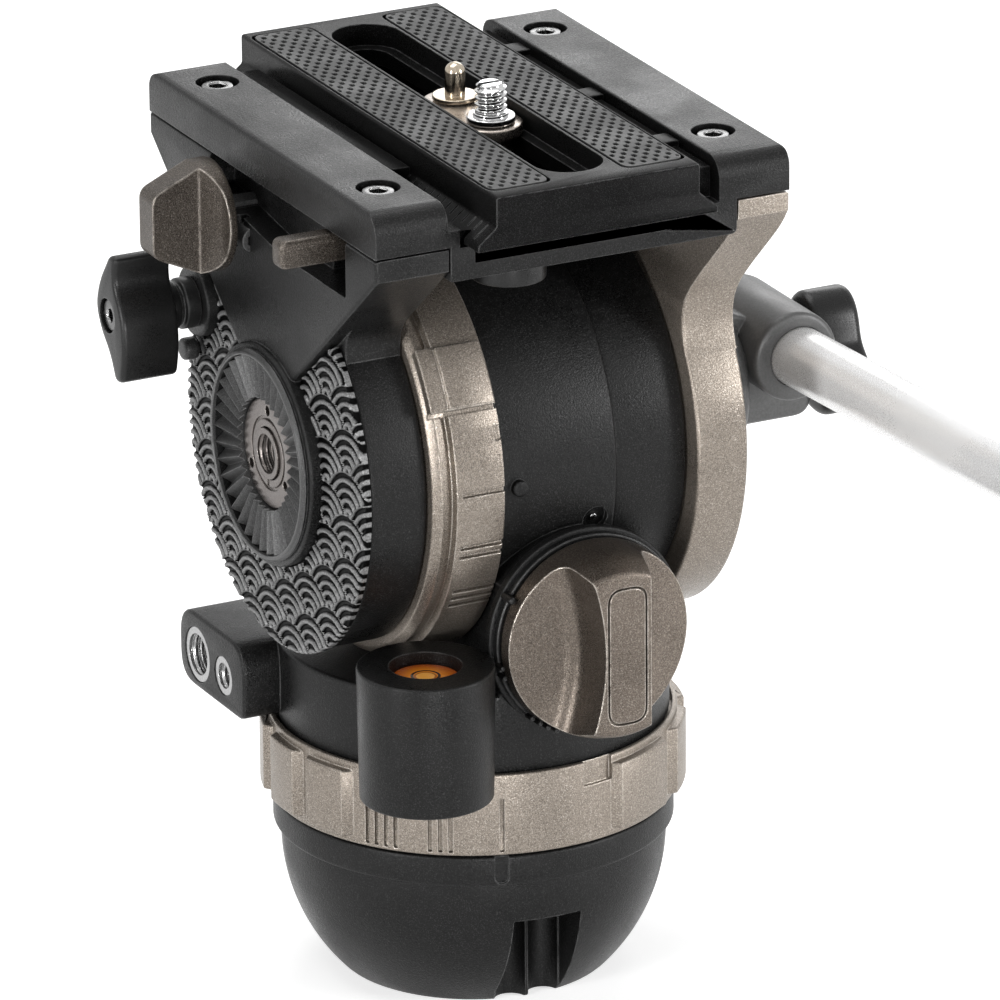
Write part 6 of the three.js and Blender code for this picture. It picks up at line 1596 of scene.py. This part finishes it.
def makeLockKnob(d, screw):
    length, neck, end = d["back"] - d["tip"], d["neck"], d["neckEnd"]
    slim = neck - d["groove"]
    profile = [
        [0, -length / 2], [neck, -length / 2], [neck, 1.6, 0.3], [slim, 2], [slim, 2.6], [neck, 3, 0.2],
        [neck, end, 0.3], [0, end],
    ]
    body = fuse(lockWing(d, -length, 0), turnedBar(profile, "x", 64, 4))
    seat = bar(screw["head"] + d["screwGap"], -length - over, -length + d["screwDepth"], "x")
    return moved(cut(body, seat), d["back"], d["y"], d["z"])


k = lockKnob
addPiece("tiltLockKnob", makeLockKnob(k, lockScrew), "plastic", "tilt_lock", "tilt_lock_knob")
screw = moved(spun(socketScrew(lockScrew), -90, "y"), k["tip"] + k["screwSink"], k["y"], k["z"])
addPiece("tiltLockScrew", screw, "screwSteel", "tilt_lock", "tilt_lock_screw")

# Pan lock: the same wing on a neck, with a stem into the base at an angle on the far side
panLock = {
    "angle": 75, "z": 33, "start": 40.4, "neckTop": 43, "length": 11, "neck": 4.6, "stem": 3,
    "stemInner": 31,
}


def makePanLock(d):
    start, top, length = d["start"], d["neckTop"], d["length"]
    body = fuse(
        spun(lockWing(lockKnob, top, top + length), 90, "x"),
        bar(d["neck"], start, top + length / 2, "x", 0.3), bar(d["stem"], d["stemInner"], start + over, "x")
    )
    return moved(spun(body, d["angle"]), 0, 0, d["z"])


addPiece("panLockKnob", makePanLock(panLock), "plastic", "pan_lock", "pan_lock_knob")
print("plate, screws and knobs made")

# Pan handle: a clamp on the right rosette, a straight tube with a grip, and a lobed knob on its bolt
handle = {
    "hub": 16.2, "hubLeft": 42.2, "hubRight": 53, "socketX": 62, "socketZ": 7.2, "socket": 9,
    "socketNear": -17, "socketFar": 9.5, "faceX": 70, "web": 8.6, "tube": 6, "startY": -7.6, "splay": 4,
    "length": 235, "wall": 1.2, "bore": 6.15, "boltBore": 3.8, "grip": 12.5, "gripNeck": 9.8,
    "gripLength": 108, "gripEnd": 4, "ribs": 36, "ribDepth": 0.8, "ribStart": 0.12, "ribEnd": 0.46,
    "waist": 1.6, "waistAt": 0.66, "waistLength": 0.12, "tail": 1.5, "plug": 12, "knobX": 71.4,
    "knobLength": 11, "knob": 8.4, "lobe": 5.2,
    "teeth": {"bore": 8, "radius": 16.2, "seat": 41.9, "root": 40, "tip": 40.9, "teeth": 40},
}


# Puts a shape drawn along y on the handle's own line
def onHandle(shape):
    return moved(spun(shape, handle["splay"]), handle["socketX"], handle["startY"], handle["socketZ"])


def makeClamp(d):
    left, face, web, z = d["hubRight"] - 2, d["faceX"], d["web"], d["socketZ"]
    side = outline([[left, -web, 0.5], [face, -web, 4], [face, z, 4], [left, z + web, 3]], 10)
    body = fuse(
        bar(d["hub"], d["hubLeft"], d["hubRight"], "x", 2.2, 128),
        moved(bar(d["socket"], d["socketNear"], d["socketFar"], "y", 1.2, 96), d["socketX"], 0, z),
        slab(side, -web, d["socketFar"], "y", 1.2)
    )
    bolt = bar(d["boltBore"], d["hubLeft"] - over, face + over, "x")
    return cut(body, onHandle(bar(d["bore"], -clear, 0, "y")), bolt)


# The grip's radius: a round nose, a waist like a bell curve, ribs in its first half and a short tail
def makeGrip(d):
    end = -d["length"] - d["gripEnd"]
    start = end + d["gripLength"]
    t = np.linspace(0, 1, 260)
    waist = d["waist"] * np.exp(-(((t - d["waistAt"]) / d["waistLength"]) ** 2))
    nose = np.minimum(1, t / 0.07) ** 0.5
    tail = np.minimum(1, (1 - t) / 0.02) ** 0.5
    ribs = d["ribDepth"] * np.clip(np.cos(tau * t * d["ribs"]) * 2, -1, 1)
    ribs = ribs * ((t > d["ribStart"]) & (t < d["ribEnd"]))
    reach = d["gripNeck"] + (
        d["grip"] - waist - d["gripNeck"]
    ) * nose - d["tail"] * (1 - tail) - np.maximum(0, -ribs)
    outer = np.stack([reach, start - (start - end) * t], -1)
    bore = d["bore"]
    line = np.concatenate([[[bore, start]], outer, [[bore, end]], [[bore, start]]])
    return onHandle(turned(line, "y", 96))


def makeEndCap(d):
    end, grip = -d["length"] - d["gripEnd"], d["grip"]
    stem, face, lip, plug = d["tube"] - d["wall"] - 0.3, end - 4, end - 0.3, end + d["plug"]
    profile = [
        [0, face], [grip - 4, face, 2.5], [grip - 2.5, lip, 0.3], [stem, lip], [stem, plug], [0, plug],
    ]
    return onHandle(turnedBar(profile, "y", 96, 6))


# Three lobes: the radius is knob + lobe (1 + cos 3t) / 2
def makeHandleKnob(d):
    angle = tau * np.arange(192) / 192
    swell = (1 + np.cos(3 * (angle - math.pi / 2))) / 2
    line = polar(d["knob"] + d["lobe"] * swell, angle)
    return slab(line, d["knobX"], d["knobX"] + d["knobLength"], "x", 2, 5)


h = handle
tube = onHandle(ring(h["tube"] - h["wall"], h["tube"], -h["length"], 0, "y", 0.2))
addPiece("handleClamp", makeClamp(h), "handleGrey", "handle", "handle_clamp")
addPiece("clampRosette", teethRing(**h["teeth"]), "steel", "handle", "clamp_rosette")
addPiece("handleTube", tube, "tube", "handle", "handle_tube")
addPiece("handleGrip", makeGrip(h), "rubber", "handle", "handle_grip")
addPiece("handleEndCap", makeEndCap(h), "plastic", "handle", "handle_end_cap")
addPiece("handleKnob", makeHandleKnob(h), "plastic", "handle_lock", "handle_knob")
print("handle made")

# Finish of each node that is carried over from the model
carried = {
    "darkGrey": ["pan_drag_cartridge", "tilt_drag_cartridge", "clamp_screw", "lever_pin"],
    "steel": [
        "pan_spindle", "spindle_nut", "tie_down_insert", "pan_bearing", "tilt_bearing",
        "counterbalance_spring", "tilt_shaft", "handle_bolt", *[f"spindle_screw_{i}" for i in (1, 2, 3)]
    ],
    "brass": ["pan_drag_cam", "tilt_drag_cam"]
}
for finishName, names in carried.items():
    for name in names:
        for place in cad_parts[name].material_slots:
            place.material = ready[finishName].material
print("nodes carried over:", sum(len(names) for names in carried.values()))
